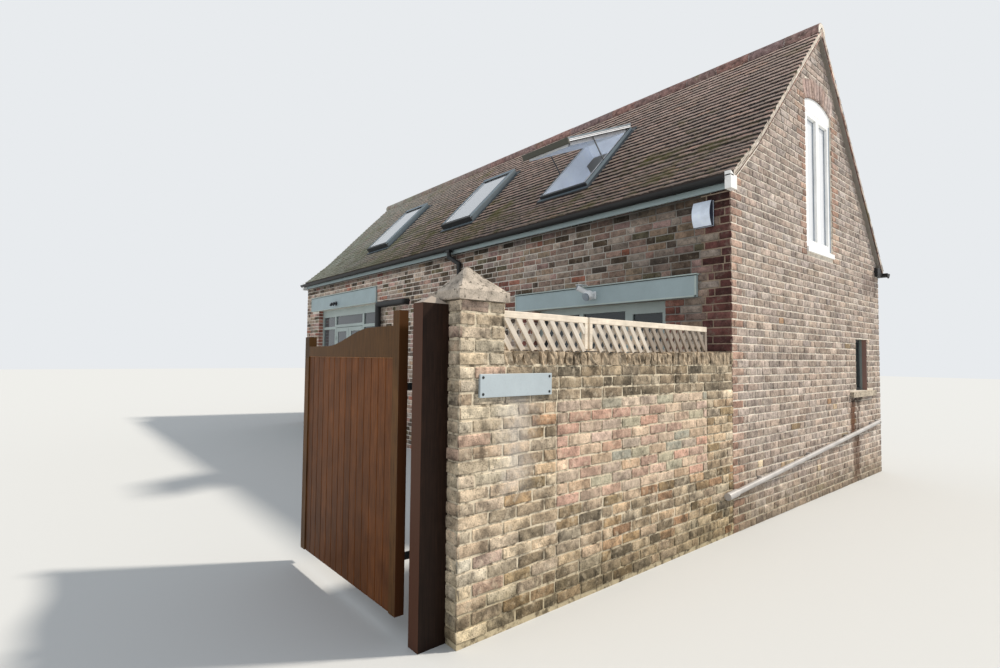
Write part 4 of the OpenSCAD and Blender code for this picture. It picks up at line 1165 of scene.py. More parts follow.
def lay_coping():
    """Brick-on-edge coping, ragged and dark from weather."""
    rng = random.Random(101)
    bm = bmesh.new()
    layer = bm.verts.layers.float_color.new("tint")
    low, high = ends("yard_coping")
    y, top = low.y + 0.003, high.z
    while y < high.y - 0.03:
        end = min(y + rng.uniform(0.056, 0.068), high.y - 0.002)
        before = set(bm.verts)
        verts = add_box(
            bm, (low.x + rng.uniform(-0.002, 0.006), y, low.z - 0.008),
            (high.x + 0.012 - rng.uniform(0, 0.007), end, top + rng.uniform(0.002, 0.014)))
        bmesh.ops.subdivide_edges(bm, edges=edges_of(verts), cuts=2, use_grid_fill=True)
        verts = [v for v in bm.verts if v not in before]
        for v in verts:
            v.co += Vector((rng.uniform(-1, 1) * 0.0022, rng.uniform(-1, 1) * 0.0022,
                            rng.uniform(-1, 0.1) * 0.004 if v.co.z > top - 0.02 else 0))
        # the bricks next to the pier are newer and pinker
        newer = (y - low.y) / (high.y - low.y) < 0.22 and rng.random() < 0.75
        tint = shade(rng, "pinkish" if newer else "coping", 0.34)
        for v in verts:
            v[layer] = tint
        y = end + rng.uniform(0.010, 0.017)
    place_piece(bm, "coping_bricks",
                made("fired brick of the coping", fired_brick, "#c9bca6", 1.0, None), "house",
                "brick")
    bm = bmesh.new()
    add_box(bm, (low.x + 0.010, low.y, low.z), (high.x - 0.018, high.y, top - 0.022), 0.004)
    place_piece(bm, "coping_bedding",
                made("weathered stone bedding", weathered_stone, "#5d5345"), "house",
                "mortar", "yard_coping")


def cut_cap():
    """The cap of the pier: a moulded slab and a low pyramid, worn."""
    rng = random.Random(111)
    low, high = ends("pier_cap")
    mid, slab, over = (low + high) / 2, low.z + 0.060, 0.012
    bm = bmesh.new()
    add_box(bm, low, (high.x, high.y, slab), 0.006, 2)
    m = Matrix.Translation((mid.x, mid.y, (slab + high.z) / 2 - 0.002))
    m = m @ Matrix.Rotation(math.radians(45), 4, "Z")
    top = bmesh.ops.create_cone(bm, cap_ends=True, segments=4, radius1=0.5 * math.sqrt(2),
                                radius2=0.035, depth=high.z - slab - 0.002, matrix=m)["verts"]
    for v in top:
        v.co.x = mid.x + (v.co.x - mid.x) * (high.x - low.x - over)
        v.co.y = mid.y + (v.co.y - mid.y) * (high.y - low.y - over)
        if v.co.z > slab + 0.01:
            v.co.y -= 0.045     # the point stands forward of the middle
    bmesh.ops.subdivide_edges(bm, edges=edges_of(top), cuts=5, use_grid_fill=True)
    rounded(bm, [e for e in bm.edges if e.verts[0].co.z > slab + 0.005 and
                 len(e.link_faces) == 2 and e.calc_face_angle(0) > 0.3], 0.012, 2)
    # sorted by place, since the order that a bevel leaves differs from run to run
    for v in sorted(bm.verts, key=lambda v: [round(c, 4) for c in v.co]):
        v.co += Vector([rng.uniform(-0.0050, 0.0) * (1 if c > m0 else -1)
                        for c, m0 in zip(v.co, mid)])
    place_piece(bm, "pier_cap_stone",
                made("weathered cast stone", weathered_stone, "#b9ad9e"), "house", "cap_stone",
                "pier_cap")


def fit_plate():
    """The bare slate name plate and its four screws."""
    low, high = ends("name_plate")
    bm = bmesh.new()
    add_box(bm, (low.x + 0.002, low.y, low.z), high, 0.0025, 2)
    for y in (low.y + 0.022, high.y - 0.022):
        for z in (low.z + 0.020, high.z - 0.020):
            add_rod(bm, (high.x - 0.004, y, z), (high.x + 0.0015, y, z), 0.0085, 20, 1)
            add_rod(bm, (high.x - 0.003, y, z), (high.x + 0.0024, y, z), 0.0040, 6, 1)
    place_piece(bm, "name_plate_slate",
                [made("honed slate plate", brushed_paint, "#b0bbc0", 0.45),
                 made("blackened screw steel", moulded_plastic, "#1c1f21", 0.5)],
                "house", "plate", "name_plate")


# ---- rooflights, windows and small fittings -------------------------------------

def slope_matrix(x, opened=0.0):
    """Local axes of a rooflight: X along the ridge, Y up the slope, Z outwards."""
    tan = (RIDGE_Z - KICK_Z) / (RIDGE_Y - KICK_Y)
    place = Vector((x, LIGHT_Y, KICK_Z + (LIGHT_Y - KICK_Y) * tan)) + CORNER
    m = Matrix.Translation(place) @ Matrix.Rotation(math.atan(tan), 4, "X")
    if opened:
        m = m @ Matrix.Translation((0, LIGHT_L / 2, CURB + 0.003)) \
            @ Matrix.Rotation(-math.radians(opened), 4, "X") \
            @ Matrix.Translation((0, -LIGHT_L / 2, -CURB))
    return m


def placed_boxes(bm, m, boxes):
    """Adds boxes given as (low, high, bevel, material) and carries them by m."""
    for low, high, bevel, mat in boxes:
        verts = add_box(bm, low, high, bevel, 1, mat)
        bmesh.ops.transform(bm, matrix=m, verts=verts)


def trim_rooflights():
    """White linings, grey covers and rails of the three rooflights."""
    w, l = LIGHT_W / 2, LIGHT_L / 2
    white, cover, rail, olive, lead = range(5)
    mats = [made("white lining board", brushed_paint, "#f8fbff", 0.4),
            made("slate grey cover metal", brushed_paint, "#6f7f89", 0.5),
            made("dark rail metal", brushed_paint, "#26282b", 0.55),
            made("olive rail metal", brushed_paint, "#4d4c42", 0.6),
            made("grey roof flashing", brushed_paint, "#5b6971", 0.65)]

    def pair(boxes, a, b, y0, y1, z0, z1, bevel, mat):
        """One box along each long side of the frame."""
        boxes += [((lo, y0, z0), (hi, y1, z1), bevel, mat) for lo, hi in ((a, b), (-b, -a))]

    def cross(boxes, a, b, x, z0, z1, bevel, mat):
        """One box along the head and one along the foot of the frame."""
        boxes += [((-x, lo, z0), (x, hi, z1), bevel, mat) for lo, hi in ((a, b), (-b, -a))]

    def bar(boxes, x, y0, y1, z0, z1, bevel, mat):
        """One box across the whole width."""
        boxes.append(((-x, y0, z0), (x, y1, z1), bevel, mat))

    for k, x in enumerate(LIGHTS_X):
        opened = SASH_OPEN if k == 0 else 0.0
        a, b = w - 0.045, l - 0.045
        still, moving = [], []
        # the lining of the well, the curb covers and the flashing at the foot
        pair(still, a - 0.006, a, -b, b, -0.17, 0.054, 0.0, white)
        pair(still, a - 0.006, a, -b, b - 0.24, -0.30, -0.17, 0.0, white)
        cross(still, b - 0.006, b, a, -0.17, 0.054, 0.0, white)
        # the curb sides of the closed lights are grey lead, painted darker than the covers as
        # their shade
        pair(still, w - 0.010, w + 0.004, -l, l, 0.020, 0.0615, 0.002, cover if opened else lead)
        bar(still, w + 0.006, -l - 0.008, -l + 0.012, 0.018, 0.0615, 0.003, rail)
        bar(still, w + 0.030, -l - 0.052, -l - 0.008, 0.010, 0.022, 0.004, lead)
        # side cover, its upper edge and the seal beside the glass
        pair(moving, w - 0.074, w - 0.066, -l + 0.07, l - 0.07, 0.0605, 0.1055, 0.0, white)
        pair(moving, w - 0.076, w - 0.064, -l + 0.02, l - 0.09, 0.1050, 0.1066, 0.0, rail)
        pair(moving, w - 0.058, w + 0.005, -l - 0.002, l + 0.002, 0.086, 0.1085, 0.003, cover)
        cross(moving, l - 0.078, l - 0.070, w - 0.07, 0.0605, 0.1055, 0.0, white)
        if opened:
            # a bright rebate runs round the top of the frame
            pair(still, w - 0.045, w - 0.034, -l + 0.04, l - 0.04, 0.056, 0.0625, 0.0, white)
            # the deep white sash that hangs below the covers, with its seals
            pair(moving, w - 0.070, w - 0.048, -l + 0.050, l - 0.050, 0.006, 0.0600, 0.002, white)
            cross(moving, l - 0.072, l - 0.050, w - 0.048, 0.006, 0.0600, 0.002, white)
            for z0, z1, mat in ((0.0560, 0.0700, white), (0.0700, 0.0760, rail),
                                (0.0760, 0.0860, white)):
                pair(moving, w - 0.003, w + 0.003, -l + 0.01, l - 0.01, z0, z1, 0.0, mat)
            pair(moving, w - 0.030, w - 0.020, -l + 0.03, l - 0.03, 0.0500, 0.0600, 0.0, rail)
            bar(moving, w + 0.004, -l - 0.012, -l + 0.020, 0.030, 0.112, 0.004, olive)
        else:
            # the lower part of each side is grey lead, painted darker than the cover as its shade
            pair(moving, w - 0.002, w + 0.003, -l, l, 0.0600, 0.0860, 0.0, lead)
            bar(moving, w + 0.004, -l - 0.010, -l + 0.052, 0.058, 0.1115, 0.006, rail)
        bar(moving, w + 0.006, l - 0.075, l + 0.010, 0.090, 0.1120, 0.004, cover)
        bar(moving, w - 0.03, l - 0.100, l - 0.076, 0.098, 0.1110, 0.002, rail)
        bm = bmesh.new()
        placed_boxes(bm, slope_matrix(x), still)
        placed_boxes(bm, slope_matrix(x, opened), moving)
        place_piece(bm, "rooflight_trim_%d" % (k + 1), mats, "house", "flashing")


def trim_gable_windows():
    """Casements, arched head and beads that stand on the gable frames."""
    white = made("white gloss paint", brushed_paint, "#fbfbf9", 0.3)
    seal = made("grey glazing seal", moulded_plastic, "#7c8a99", 0.6)
    near, far = ARCH_Y, ARCH_Y + ARCH_W
    low, high = ARCH_Z + 0.061, SPRING - 0.124      # the casements
    foot, head = ARCH_Z + 0.150, SPRING - 0.180     # their glass
    jamb, mid = 0.105, 0.096
    pane = (ARCH_W - 2 * jamb - mid) / 2
    boxes = []
    for y0, y1, h0 in ((near + 0.030, ARCH_M - 0.002, near + jamb),
                       (ARCH_M + 0.002, far - 0.030, ARCH_M + mid / 2)):
        h1 = h0 + pane
        boxes += [((0, y0, low), (0.009, h0, high), 0.0015, 0),
                  ((0, h1, low), (0.009, y1, high), 0.0015, 0),
                  ((0, h0 - 0.001, low), (0.009, h1 + 0.001, foot), 0.0015, 0),
                  ((0, h0 - 0.001, head), (0.009, h1 + 0.001, high), 0.0015, 0)]
        # beads in the rebate, with a grey seal against the glass
        for a0, a1, b0, b1 in ((h0, h0 + 0.010, foot, head), (h1 - 0.010, h1, foot, head),
                               (h0, h1, foot, foot + 0.010), (h0, h1, head - 0.010, head)):
            boxes.append(((-0.0225, a0, b0), (-0.006, a1, b1), 0.0, 0))
        for a0, a1, b0, b1 in (
                (h0 + 0.010, h0 + 0.015, foot, head), (h1 - 0.022, h1 - 0.010, foot, head),
                (h0, h1, foot + 0.010, foot + 0.014), (h0, h1, head - 0.016, head - 0.010)):
            boxes.append(((-0.0235, a0, b0), (-0.020, a1, b1), 0.0, 1))
    # a grey-blue strip beside the far jamb, painted as the shadow of the reveal, and the nosing
    # of the sill
    boxes.append(((0.008, far - 0.062, low + 0.02), (0.0105, far - 0.030, high - 0.01), 0.0, 1))
    boxes.append(((0.004, near + 0.004, low - 0.006), (0.036, far - 0.004, low), 0.002, 0))
    for name, x, way in (("gable_casements_right", -0.020, 1),
                         ("gable_casements_left", -HOUSE_LEN + 0.020, -1)):
        bm = bmesh.new()
        # the head panel follows the arch
        bmesh.ops.create_grid(bm, x_segments=14, y_segments=1, size=0.5)
        for v in bm.verts:
            y = ARCH_M + v.co.x * (ARCH_W - 0.016)
            top = ARCH_C + math.sqrt((ARCH_R - 0.008) ** 2 - (y - ARCH_M) ** 2)
            v.co = Vector((0.0, y, top if v.co.y > 0 else SPRING - 0.118))
        out = bmesh.ops.extrude_face_region(bm, geom=list(bm.faces))
        moved = [v for v in out["geom"] if isinstance(v, bmesh.types.BMVert)]
        bmesh.ops.translate(bm, verts=moved, vec=(0.007, 0, 0))
        placed_boxes(bm, Matrix.Identity(4), boxes)
        flat = Matrix.Translation(CORNER + Vector((x, 0, 0))) @ Matrix.Diagonal((way, 1, 1, 1))
        bmesh.ops.transform(bm, matrix=flat, verts=list(bm.verts))
        bmesh.ops.recalc_face_normals(bm, faces=list(bm.faces))
        place_piece(bm, name, [white, seal], "house", "white_paint")


def build_trellis():
    """Two layers of laths between rails; the far layer is painted darker as its shade, the right
    end as a cast shadow.
    """
    rng = random.Random(131)
    bm = bmesh.new()
    x0, thick, base, tall = -0.130, 0.036, WALL_TOP + 0.100, 0.232
    top, run, half = base + tall, 0.144, 0.019
    lean = math.atan2(tall - 0.040, run)
    for number, (y0, y1) in enumerate(((-2.795, -1.918), (-1.918, -0.270))):
        low, high = y0 + 0.010 * number, y1 - 0.010
        # the right stile of the second panel takes the painted shadow of the right end
        placed_boxes(bm, Matrix.Translation(CORNER), [
            ((x0, low, top - 0.046), (x0 + thick, high, top - 0.002), 0.003, 0),
            ((x0 + 0.004, low, base - 0.012), (x0 + thick - 0.016, high, base + 0.006), 0.002, 0),
            ((x0, low, base), (x0 + thick, low + 0.032, top - 0.046), 0.003, 0),
            ((x0, high - 0.032, base), (x0 + thick, high, top - 0.046), 0.003, 3 * number)])
        for layer in (0, 1):
            y = low - run + 0.040
            while y < high:
                # a lath runs from the foot to the top rail, cut off at the stiles
                z0, z1 = base - 0.014, top - 0.040
                ya, yb = max(y, low + 0.028), min(y + run, high - 0.028)
                start, y = y, y + 0.099 + rng.uniform(-0.003, 0.003)
                if yb - ya < 0.03:
                    continue
                up = (z1 - z0) / run * (-1 if layer else 1)
                foot = z1 if layer else z0
                p, q = (Vector((0, v, foot + (v - start) * up)) for v in (ya, yb))
                d, out = q - p, Vector((x0 + 0.010 + layer * 0.016, 0, 0))
                m = Matrix.Translation((p + q) / 2 + out + CORNER)
                m = m @ Matrix.Rotation(math.atan2(d.z, d.y) + rng.uniform(-0.01, 0.01), 4, "X")
                # the far layer is painted darker as its shade, the front laths at the right end
                # as a cast shadow
                mat = 2 if not layer else 3 if ya > -1.28 else 1
                placed_boxes(bm, m, [((-0.008, -d.length / 2, -half),
                                      (0.008, d.length / 2, half), 0.0015, mat)])
    place_piece(bm, "trellis_laths", [
        made("trellis rail wood", stained_wood, "#e6dac8", 0.75, 1, 0.0, 0.3),
        made("trellis lath wood", stained_wood, "#ece2d3", 0.75, 1, lean, 0.3),
        made("far lath wood", stained_wood, "#c9beb0", 0.85, 1, -lean, 0.4),
        made("greyed lath wood", stained_wood, "#a99d90", 0.85, 1, lean, 0.4)],
        "house", "trellis_wood", "trellis")


def fit_window_panel():
    """The dark pane of the small gable window and the sides of its recess."""
    low, high = ends("small_window")
    bm = bmesh.new()
    face, out = high.x, CORNER.x - 0.004
    add_box(bm, (face - 0.004, low.y, low.z), (face + 0.006, high.y, high.z))
    for y0, y1 in ((low.y, low.y + 0.040), (high.y - 0.040, high.y)):
        add_box(bm, (face + 0.002, y0, low.z), (face + 0.022, y1, high.z), 0.002, 1, 1)
    for z0, z1 in ((low.z, low.z + 0.040), (high.z - 0.040, high.z)):
        add_box(bm, (face + 0.002, low.y + 0.0395, z0), (face + 0.022, high.y - 0.0395, z1),
                0.002, 1, 1)
    for y0, y1 in ((low.y, low.y + 0.004), (high.y - 0.004, high.y)):
        for x0, x1, mat in ((face + 0.003, face + 0.052, 3), (face + 0.052, out, 2)):
            add_box(bm, (x0, y0, low.z + 0.001), (x1, y1, high.z - 0.001), mat=mat)
    place_piece(bm, "small_window_pane", [
        made("obscured dark glass", brushed_paint, "#39413f", 0.3),
        made("dark joinery paint", brushed_paint, "#3c4145", 0.45),
        made("oxide painted side", brushed_paint, "#96746a", 0.7),
        made("green painted side", brushed_paint, "#8a9692", 0.6)],
        "house", "dark_paint")


def fit_alarm():
    """Bare white bell box, its front bowed out over a navy back."""
    low, high = ends("alarm_box")
    bm = bmesh.new()
    add_box(bm, (low.x, high.y - 0.020, low.z), high, 0.004, 2, 1)
    verts = add_box(bm, (low.x + 0.004, low.y, low.z + 0.004),
                    (high.x - 0.004, high.y - 0.012, high.z - 0.004))
    edges = [e for e in edges_of(verts) if abs(e.verts[0].co.z - e.verts[1].co.z) > 0.1]
    start = set(bm.verts) - set(verts)
    bmesh.ops.subdivide_edges(bm, edges=edges, cuts=11, use_grid_fill=True)
    shell = [v for v in bm.verts if v not in start]
    mid, half = (low.z + high.z) / 2, (high.z - low.z) / 2
    for v in shell:
        if v.co.y < low.y + 0.001:
            v.co.y += 0.040 * ((v.co.z - mid) / half) ** 2
    for f in faces_of(shell):
        f.material_index = 1 if abs(f.normal.x) > 0.7 or f.normal.z < -0.9 else 0
    place_piece(bm, "alarm_cover", [
        made("white alarm plastic", moulded_plastic, "#dde7f4", 0.3),
        made("navy alarm plastic", moulded_plastic, "#27303f", 0.4)],
        "house", "white_plastic", "alarm_box")


def fit_lamps():
    """Security light on the window lintel, small bracket lamp over the doors."""
    low, high = ends("lintel_window")
    root = Vector((-1.735 + CORNER.x, low.y, high.z))

    def at(dx, dy, dz):
        return root + Vector((dx, dy, dz))

    # foot on the wall, a hooded arm reaching out and a round head at its root
    bm = bmesh.new()
    add_box(bm, at(0.060, -0.018, -0.150), at(0.150, 0.004, -0.060), 0.008, 2)
    bmesh.ops.create_uvsphere(bm, u_segments=24, v_segments=14, radius=0.060,
                              matrix=Matrix.Translation(at(0.105, -0.080, -0.110)))
    for a, b, radius, sides, mat, end in (
            ((0.105, -0.010, -0.105), (0.105, -0.075, -0.108), 0.026, 20, 0, None),
            ((0.100, -0.120, -0.128), (0.098, -0.138, -0.136), 0.046, 24, 1, None),
            ((0.090, -0.070, -0.085), (0.005, -0.170, -0.020), 0.026, 20, 0, 0.032),
            ((0.005, -0.170, -0.020), (-0.002, -0.178, -0.015), 0.030, 20, 1, None)):
        add_rod(bm, at(*a), at(*b), radius, sides, mat, end)
    add_box(bm, at(-0.022, -0.172, 0.010), at(0.060, -0.040, 0.018), 0.003, 2)
    place_piece(bm, "security_light", [
        made("white moulded plastic", moulded_plastic, "#eceeee", 0.3),
        made("lamp lens", moulded_plastic, "#8f98a0", 0.15)], "house", "white_metal", "lamps")
    root = Vector((-8.860 + CORNER.x, ends("lintel_door")[0].y, 2.735))
    bm = bmesh.new()
    add_rod(bm, root, at(0, -0.020, 0), 0.045, 24)
    add_rod(bm, at(0, -0.015, 0), at(0, -0.085, 0.010), 0.010, 12)
    for s in (-1, 1):
        add_rod(bm, at(0, -0.080, 0.010), at(s * 0.060, -0.085, -0.010), 0.009, 12)
        add_rod(bm, at(s * 0.060, -0.070, 0.010), at(s * 0.072, -0.110, -0.050), 0.024, 20)
    place_piece(bm, "door_lamp", made("black painted steel", brushed_paint, "#232527", 0.45),
                "house", "black_metal")


def trim_lintels():
    """Folded edges and a drip ledge on the two lintel boards, with a painted shadow under the
    ledge.
    """
    mats = [made("pale drip edge", brushed_paint, "#b6c3bd", 0.5),
            made("shadow gap", brushed_paint, "#2c3336", 0.7)]
    for name, node in (("lintel_trim_door", "lintel_door"),
                       ("lintel_trim_window", "lintel_window")):
        low, high = ends(node)
        face, bm = low.y, bmesh.new()
        add_box(bm, (low.x - 0.012, face - 0.014, high.z - 0.001),
                (high.x + 0.012, high.y, high.z + 0.011), 0.002, 1)
        # a dark strip just under the ledge is its painted shadow
        add_box(bm, (low.x, face - 0.003, high.z - 0.009), (high.x, face + 0.001, high.z - 0.002),
                mat=1)
        for x0, x1, top in ((low.x, low.x + 0.020, high.z - 0.010),
                            (high.x - 0.020, high.x, high.z - 0.010),
                            (low.x, high.x, low.z + 0.016)):
            add_box(bm, (x0, face - 0.004, low.z), (x1, face + 0.001, top), 0.0012, 1)
        place_piece(bm, name, mats, "house", "green_grey_paint")


def box_eaves():
    """White boxed end of the eaves at each front corner of the roof."""
    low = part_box("fascia_front")[0][2] - 0.030
    mat = made("white eaves paint", brushed_paint, "#f6f5f1", 0.5)
    for name, x, way in (("eaves_box_right", 0.0, 1), ("eaves_box_left", -HOUSE_LEN, -1)):
        bm = bmesh.new()
        add_box(bm, (0.001, -0.118, low), (0.062, 0.004, 3.316), 0.003, 1)
        # the lid falls back towards the roof
        for v in add_box(bm, (0.001, -0.118, 3.300), (0.062, -0.058, 3.347), 0.002, 1):
            if v.co.z > 3.33 and v.co.y > -0.08:
                v.co.z -= 0.028
        m = Matrix.Translation(CORNER + Vector((x, 0, 0))) @ Matrix.Diagonal((way, 1, 1, 1))
        bmesh.ops.transform(bm, matrix=m, verts=list(bm.verts))
        bmesh.ops.recalc_face_normals(bm, faces=list(bm.faces))
        place_piece(bm, name, mat, "house", "white_paint")


def end_back_gutter():
    """Half-round stop ends and dark box ends of the back eaves."""
    bm = bmesh.new()
    low, high = ends("gutter_back")
    y, z = high.y - 0.067, high.z - 0.010
    for way, x in ((1, high.x), (-1, low.x)):
        add_rod(bm, (x - way * 0.012, y, z - 0.002), (x - way * 0.002, y, z - 0.002), 0.062, 24)
    cut = bmesh.ops.bisect_plane(bm, geom=[*bm.verts, *bm.edges, *bm.faces], dist=1e-5,
                                 plane_co=(0, 0, z + 0.006), plane_no=(0, 0, 1),
                                 clear_outer=True)
    bmesh.ops.holes_fill(bm, edges=[e for e in cut["geom_cut"]
                                    if isinstance(e, bmesh.types.BMEdge)])
    back = CORNER.y + HOUSE_DEP
    for way in (1, -1):
        a, b = sorted((way * (CORNER.x + 0.002), way * (CORNER.x + 0.050)))
        add_box(bm, (a, back - 0.17, z - 0.05), (b, back + 0.04, z + 0.075), 0.004, 1)
    place_piece(bm, "back_gutter_ends",
                made("black rainwater plastic", moulded_plastic, "#121314", 0.55),
                "house", "black_plastic")


# ---- gate -------------------------------------------------------------------------

def board_gate():
    """Tongued boards with a V joint between them, on the gate's face."""
    low, high = ends("gate_boards")
    rng = random.Random(121)
    bm = bmesh.new()
    layer = bm.verts.layers.float_color.new("tint")
    n = max(1, round((high.x - low.x) / sizes().board))
    wide = (high.x - low.x) / n
    for k in range(n):
        x = low.x + k * wide
        verts = add_box(bm, (x + 0.0006, low.y, low.z), (x + wide - 0.0006, high.y, high.z))
        edges = [e for e in edges_of(verts) if abs(e.verts[0].co.z - e.verts[1].co.z) > 0.5]
        faces = rounded(bm, edges, 0.005)
        # the chamfers facing one way are painted pale, a highlight along each V joint
        for f in faces:
            if f.normal.x < -0.3 and abs(f.normal.y) > 0.3:
                f.material_index = 1
        r = 1.0 + rng.uniform(-0.22, 0.26)
        for v in verts_of(faces):
            v[layer] = (r, r, r, 1.0)
    # a pale bead, a painted highlight, lies where the head rail meets the boards
    add_box(bm, (low.x, low.y - 0.002, high.z - 0.003), (high.x, low.y + 0.003, high.z + 0.001),
            mat=1)
    place_piece(bm, "gate_board_face",
                [made("stained gate boards", stained_wood, "gate", 0.5, 2, 0.0, 1.0, own_tone),
                 made("worn board arris", stained_wood, "#a8764a", 0.5, 2, 0.0, 1.0,
                      own_tone)], "gate",
                "gate_wood", "gate_boards")


# ---- finishes of the carried-over solids ---------------------------------------

SOLIDS = (
    ("gable_right gable_left wall_back arch_right arch_left",
     "lime mortar of the gables", lime_mortar, "mortar", wall_weather, 0.3),
    ("yard_wall pier", "lime mortar of the yard wall", lime_mortar, "yard_mortar",
     wall_weather, 0.8),
    ("wall_front_left wall_over_door wall_front_mid wall_over_window wall_under_window "
     "wall_front_right", "lime mortar of the front", lime_mortar, "front_mortar", sooty_joints),
    ("verges", "lime mortar of the verges", lime_mortar, "front_mortar", back_soot),
    ("floor_slab", "floated concrete", weathered_stone, "#9a968e"),
    ("floor_upper", "sawn floor boards", stained_wood, "#a98a63", 0.6, 0),
    ("roof_front roof_back", "clay below the tiles", clay_under),
    ("rooflight_1 rooflight_2 rooflight_3", "milled lead", brushed_paint, "#4b4f52", 0.55),
    ("rooflight_glass_1 rooflight_glass_2 rooflight_glass_3",
     "float glass of the rooflights", float_glass, "#66757f", 0.35, 0.54, 0.62),
    ("gable_glass_right gable_glass_left",
     "float glass of the gables", float_glass, "#7f909c", 0.1, 0.12, 1.0),
    # the front glass is painted dark, as the shade of the rooms behind it
    ("door_frame_glass door_glass_left door_glass_right window_glass",
     "float glass of the front", float_glass, "#2b3437", 0.3, 0.16, 0.16),
    ("fascia_front fascia_back lintel_door lintel_window window_sill",
     "lintel board paint", brushed_paint, "lintel", 0.5),
    ("door_frame door_leaf_left door_leaf_right window_frame",
     "joinery paint", brushed_paint, "joinery", 0.45),
    ("gable_window_right gable_window_left", "white gloss paint", brushed_paint, "#fbfbf9", 0.3),
    ("small_window", "dark joinery paint", brushed_paint, "#3c4145", 0.45),
    ("small_window_sill", "cut sill stone", weathered_stone, "#b8ab97"),
    ("gutter_front gutter_back soil_pipe",
     "black rainwater plastic", moulded_plastic, "#121314", 0.55),
    ("waste_pipe", "grey waste plastic", moulded_plastic, "#a9a5a1", 0.4),
    ("flue gate_straps gate_hooks", "black painted steel", brushed_paint, "#232527", 0.45),
    # the near-black stain of the post is painted shade from the pier
    ("gate_post", "stained gate post", stained_wood, "#261811", 0.45, 2, 0.0, 1.0, post_ends),
    ("gate_frame", "stained gate frame", stained_wood, "#60401f", 0.5, 2, 0.0, 1.0, gate_edges),
)


def finish_solids():
    """Gives each solid from the source its real material."""
    for nodes, *finish in SOLIDS:
        mat = made(*finish)
        for node in nodes.split():
            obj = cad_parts[node]
            if not obj.material_slots:
                obj.data.materials.append(mat)
            for slot in obj.material_slots:
                slot.material = mat


# ---- stage --------------------------------------------------------------------------

def set_stage():
    """A matt pale floor, a pale world that mirrors see too, and a soft sun."""
    bm = bmesh.new()
    bmesh.ops.create_grid(bm, x_segments=1, y_segments=1, size=60.0)
    mesh = to_mesh(bm, "floor")
    matt = bpy.data.materials.new("matt pale floor")
    matt.use_nodes = True
    matt.node_tree.nodes.clear()
    pale = add(matt.node_tree, "ShaderNodeBsdfDiffuse", {"Color": linear("#c9cac8")})
    add(matt.node_tree, "ShaderNodeOutputMaterial", {"Surface": pale})
    mesh.materials.append(matt)
    floor = link(bpy.data.objects.new("floor", mesh))

    world = bpy.data.worlds.new("studio")
    bpy.context.scene.world = world
    world.use_nodes = True
    tree = world.node_tree
    tree.nodes.clear()
    path = tree.nodes.new("ShaderNodeLightPath")
    seen = add(tree, "ShaderNodeMath", {0: path.outputs["Is Camera Ray"],
                                        1: path.outputs["Is Glossy Ray"]}, operation="MAXIMUM")
    seen = add(tree, "ShaderNodeMath", {0: seen, 1: path.outputs["Is Transmission Ray"]},
               operation="MAXIMUM")
    soft = add(tree, "ShaderNodeBackground", {"Color": linear("#eaf0f8"), "Strength": 0.80})
    plain = add(tree, "ShaderNodeBackground", {"Color": linear("#e8ebee"), "Strength": 1.0})
    both = add(tree, "ShaderNodeMixShader", {0: seen, 1: soft, 2: plain})
    add(tree, "ShaderNodeOutputWorld", {"Surface": both})

    sun = bpy.data.lights.new("soft_sun", "SUN")
    sun.energy, sun.angle = 3.8, math.radians(4)
    sun.color = linear("#fff6ea")[:3]
    lamp = link(bpy.data.objects.new("soft_sun", sun))
    # from behind and to the right, so that the front lies in soft shade
    aim = Vector((-0.38, -0.62, -0.68))
    lamp.rotation_euler = aim.to_track_quat("-Z", "Y").to_euler()


def light_room():
    """A soft lamp below the open rooflight, so that its white well shows."""
    glow = bpy.data.lights.new("room_glow", "AREA")
    glow.shape, glow.size, glow.size_y, glow.energy = "RECTANGLE", 1.2, 1.2, 11.5
    glow.color = linear("#d6e6ff")[:3]
    lamp = link(bpy.data.objects.new("room_glow", glow))
    lamp.location = (CORNER.x + LIGHTS_X[0] + 0.15, CORNER.y + LIGHT_Y + 0.75, 3.55)
    lamp.rotation_euler = Vector((0.0, -0.62, 0.78)).to_track_quat("-Z", "Y").to_euler()
    lamp.visible_camera = False


def set_camera():
    """The camera, as solved from the vanishing points and the brick courses."""
    cam = bpy.data.cameras.new("camera")
    cam.sensor_width, cam.lens = 36.0, 19.377
    cam.clip_end = 200.0
    eye = link(bpy.data.objects.new("camera", cam))
    right = Vector((0.6462, 0.7631, 0.0097))
    up = Vector((0.0264, -0.0350, 0.9991))
    ahead = Vector((-0.7627, 0.6453, 0.0428))
    m = Matrix((right, up, -ahead)).transposed().to_4x4()
    m.translation = Vector((7.745, -7.101, 1.60))
    eye.matrix_world = m
    bpy.context.scene.camera = eye
    bpy.context.scene.view_settings.view_transform = "Standard"


# ---- operators ------------------------------------------------------------------------

class OAST_OT_stage(bpy.types.Operator):
    """Set up the camera, the pale floor and the light"""
    bl_idname = "oast.stage"
    bl_label = "Set the stage"
    bl_options = {"REGISTER", "UNDO"}

    def execute(self, context):
        set_camera()
        set_stage()
        light_room()
        return {"FINISHED"}


class OAST_OT_solids(bpy.types.Operator):
    """Give each solid of the source its real material"""
    bl_idname = "oast.solids"
    bl_label = "Finish the solids"
    bl_options = {"REGISTER", "UNDO"}

    def execute(self, context):
        finish_solids()
        return {"FINISHED"}


class OAST_OT_front(bpy.types.Operator):
    """Lay the bricks of the long front"""
    bl_idname = "oast.front"
    bl_label = "Lay the front"
    bl_options = {"REGISTER", "UNDO"}

    def execute(self, context):
        lay_front()
        return {"FINISHED"}


class OAST_OT_gables(bpy.types.Operator):
    """Lay the bricks of both gables"""
    bl_idname = "oast.gables"
    bl_label = "Lay the gables"
    bl_options = {"REGISTER", "UNDO"}

    def execute(self, context):
        lay_gables()
        return {"FINISHED"}


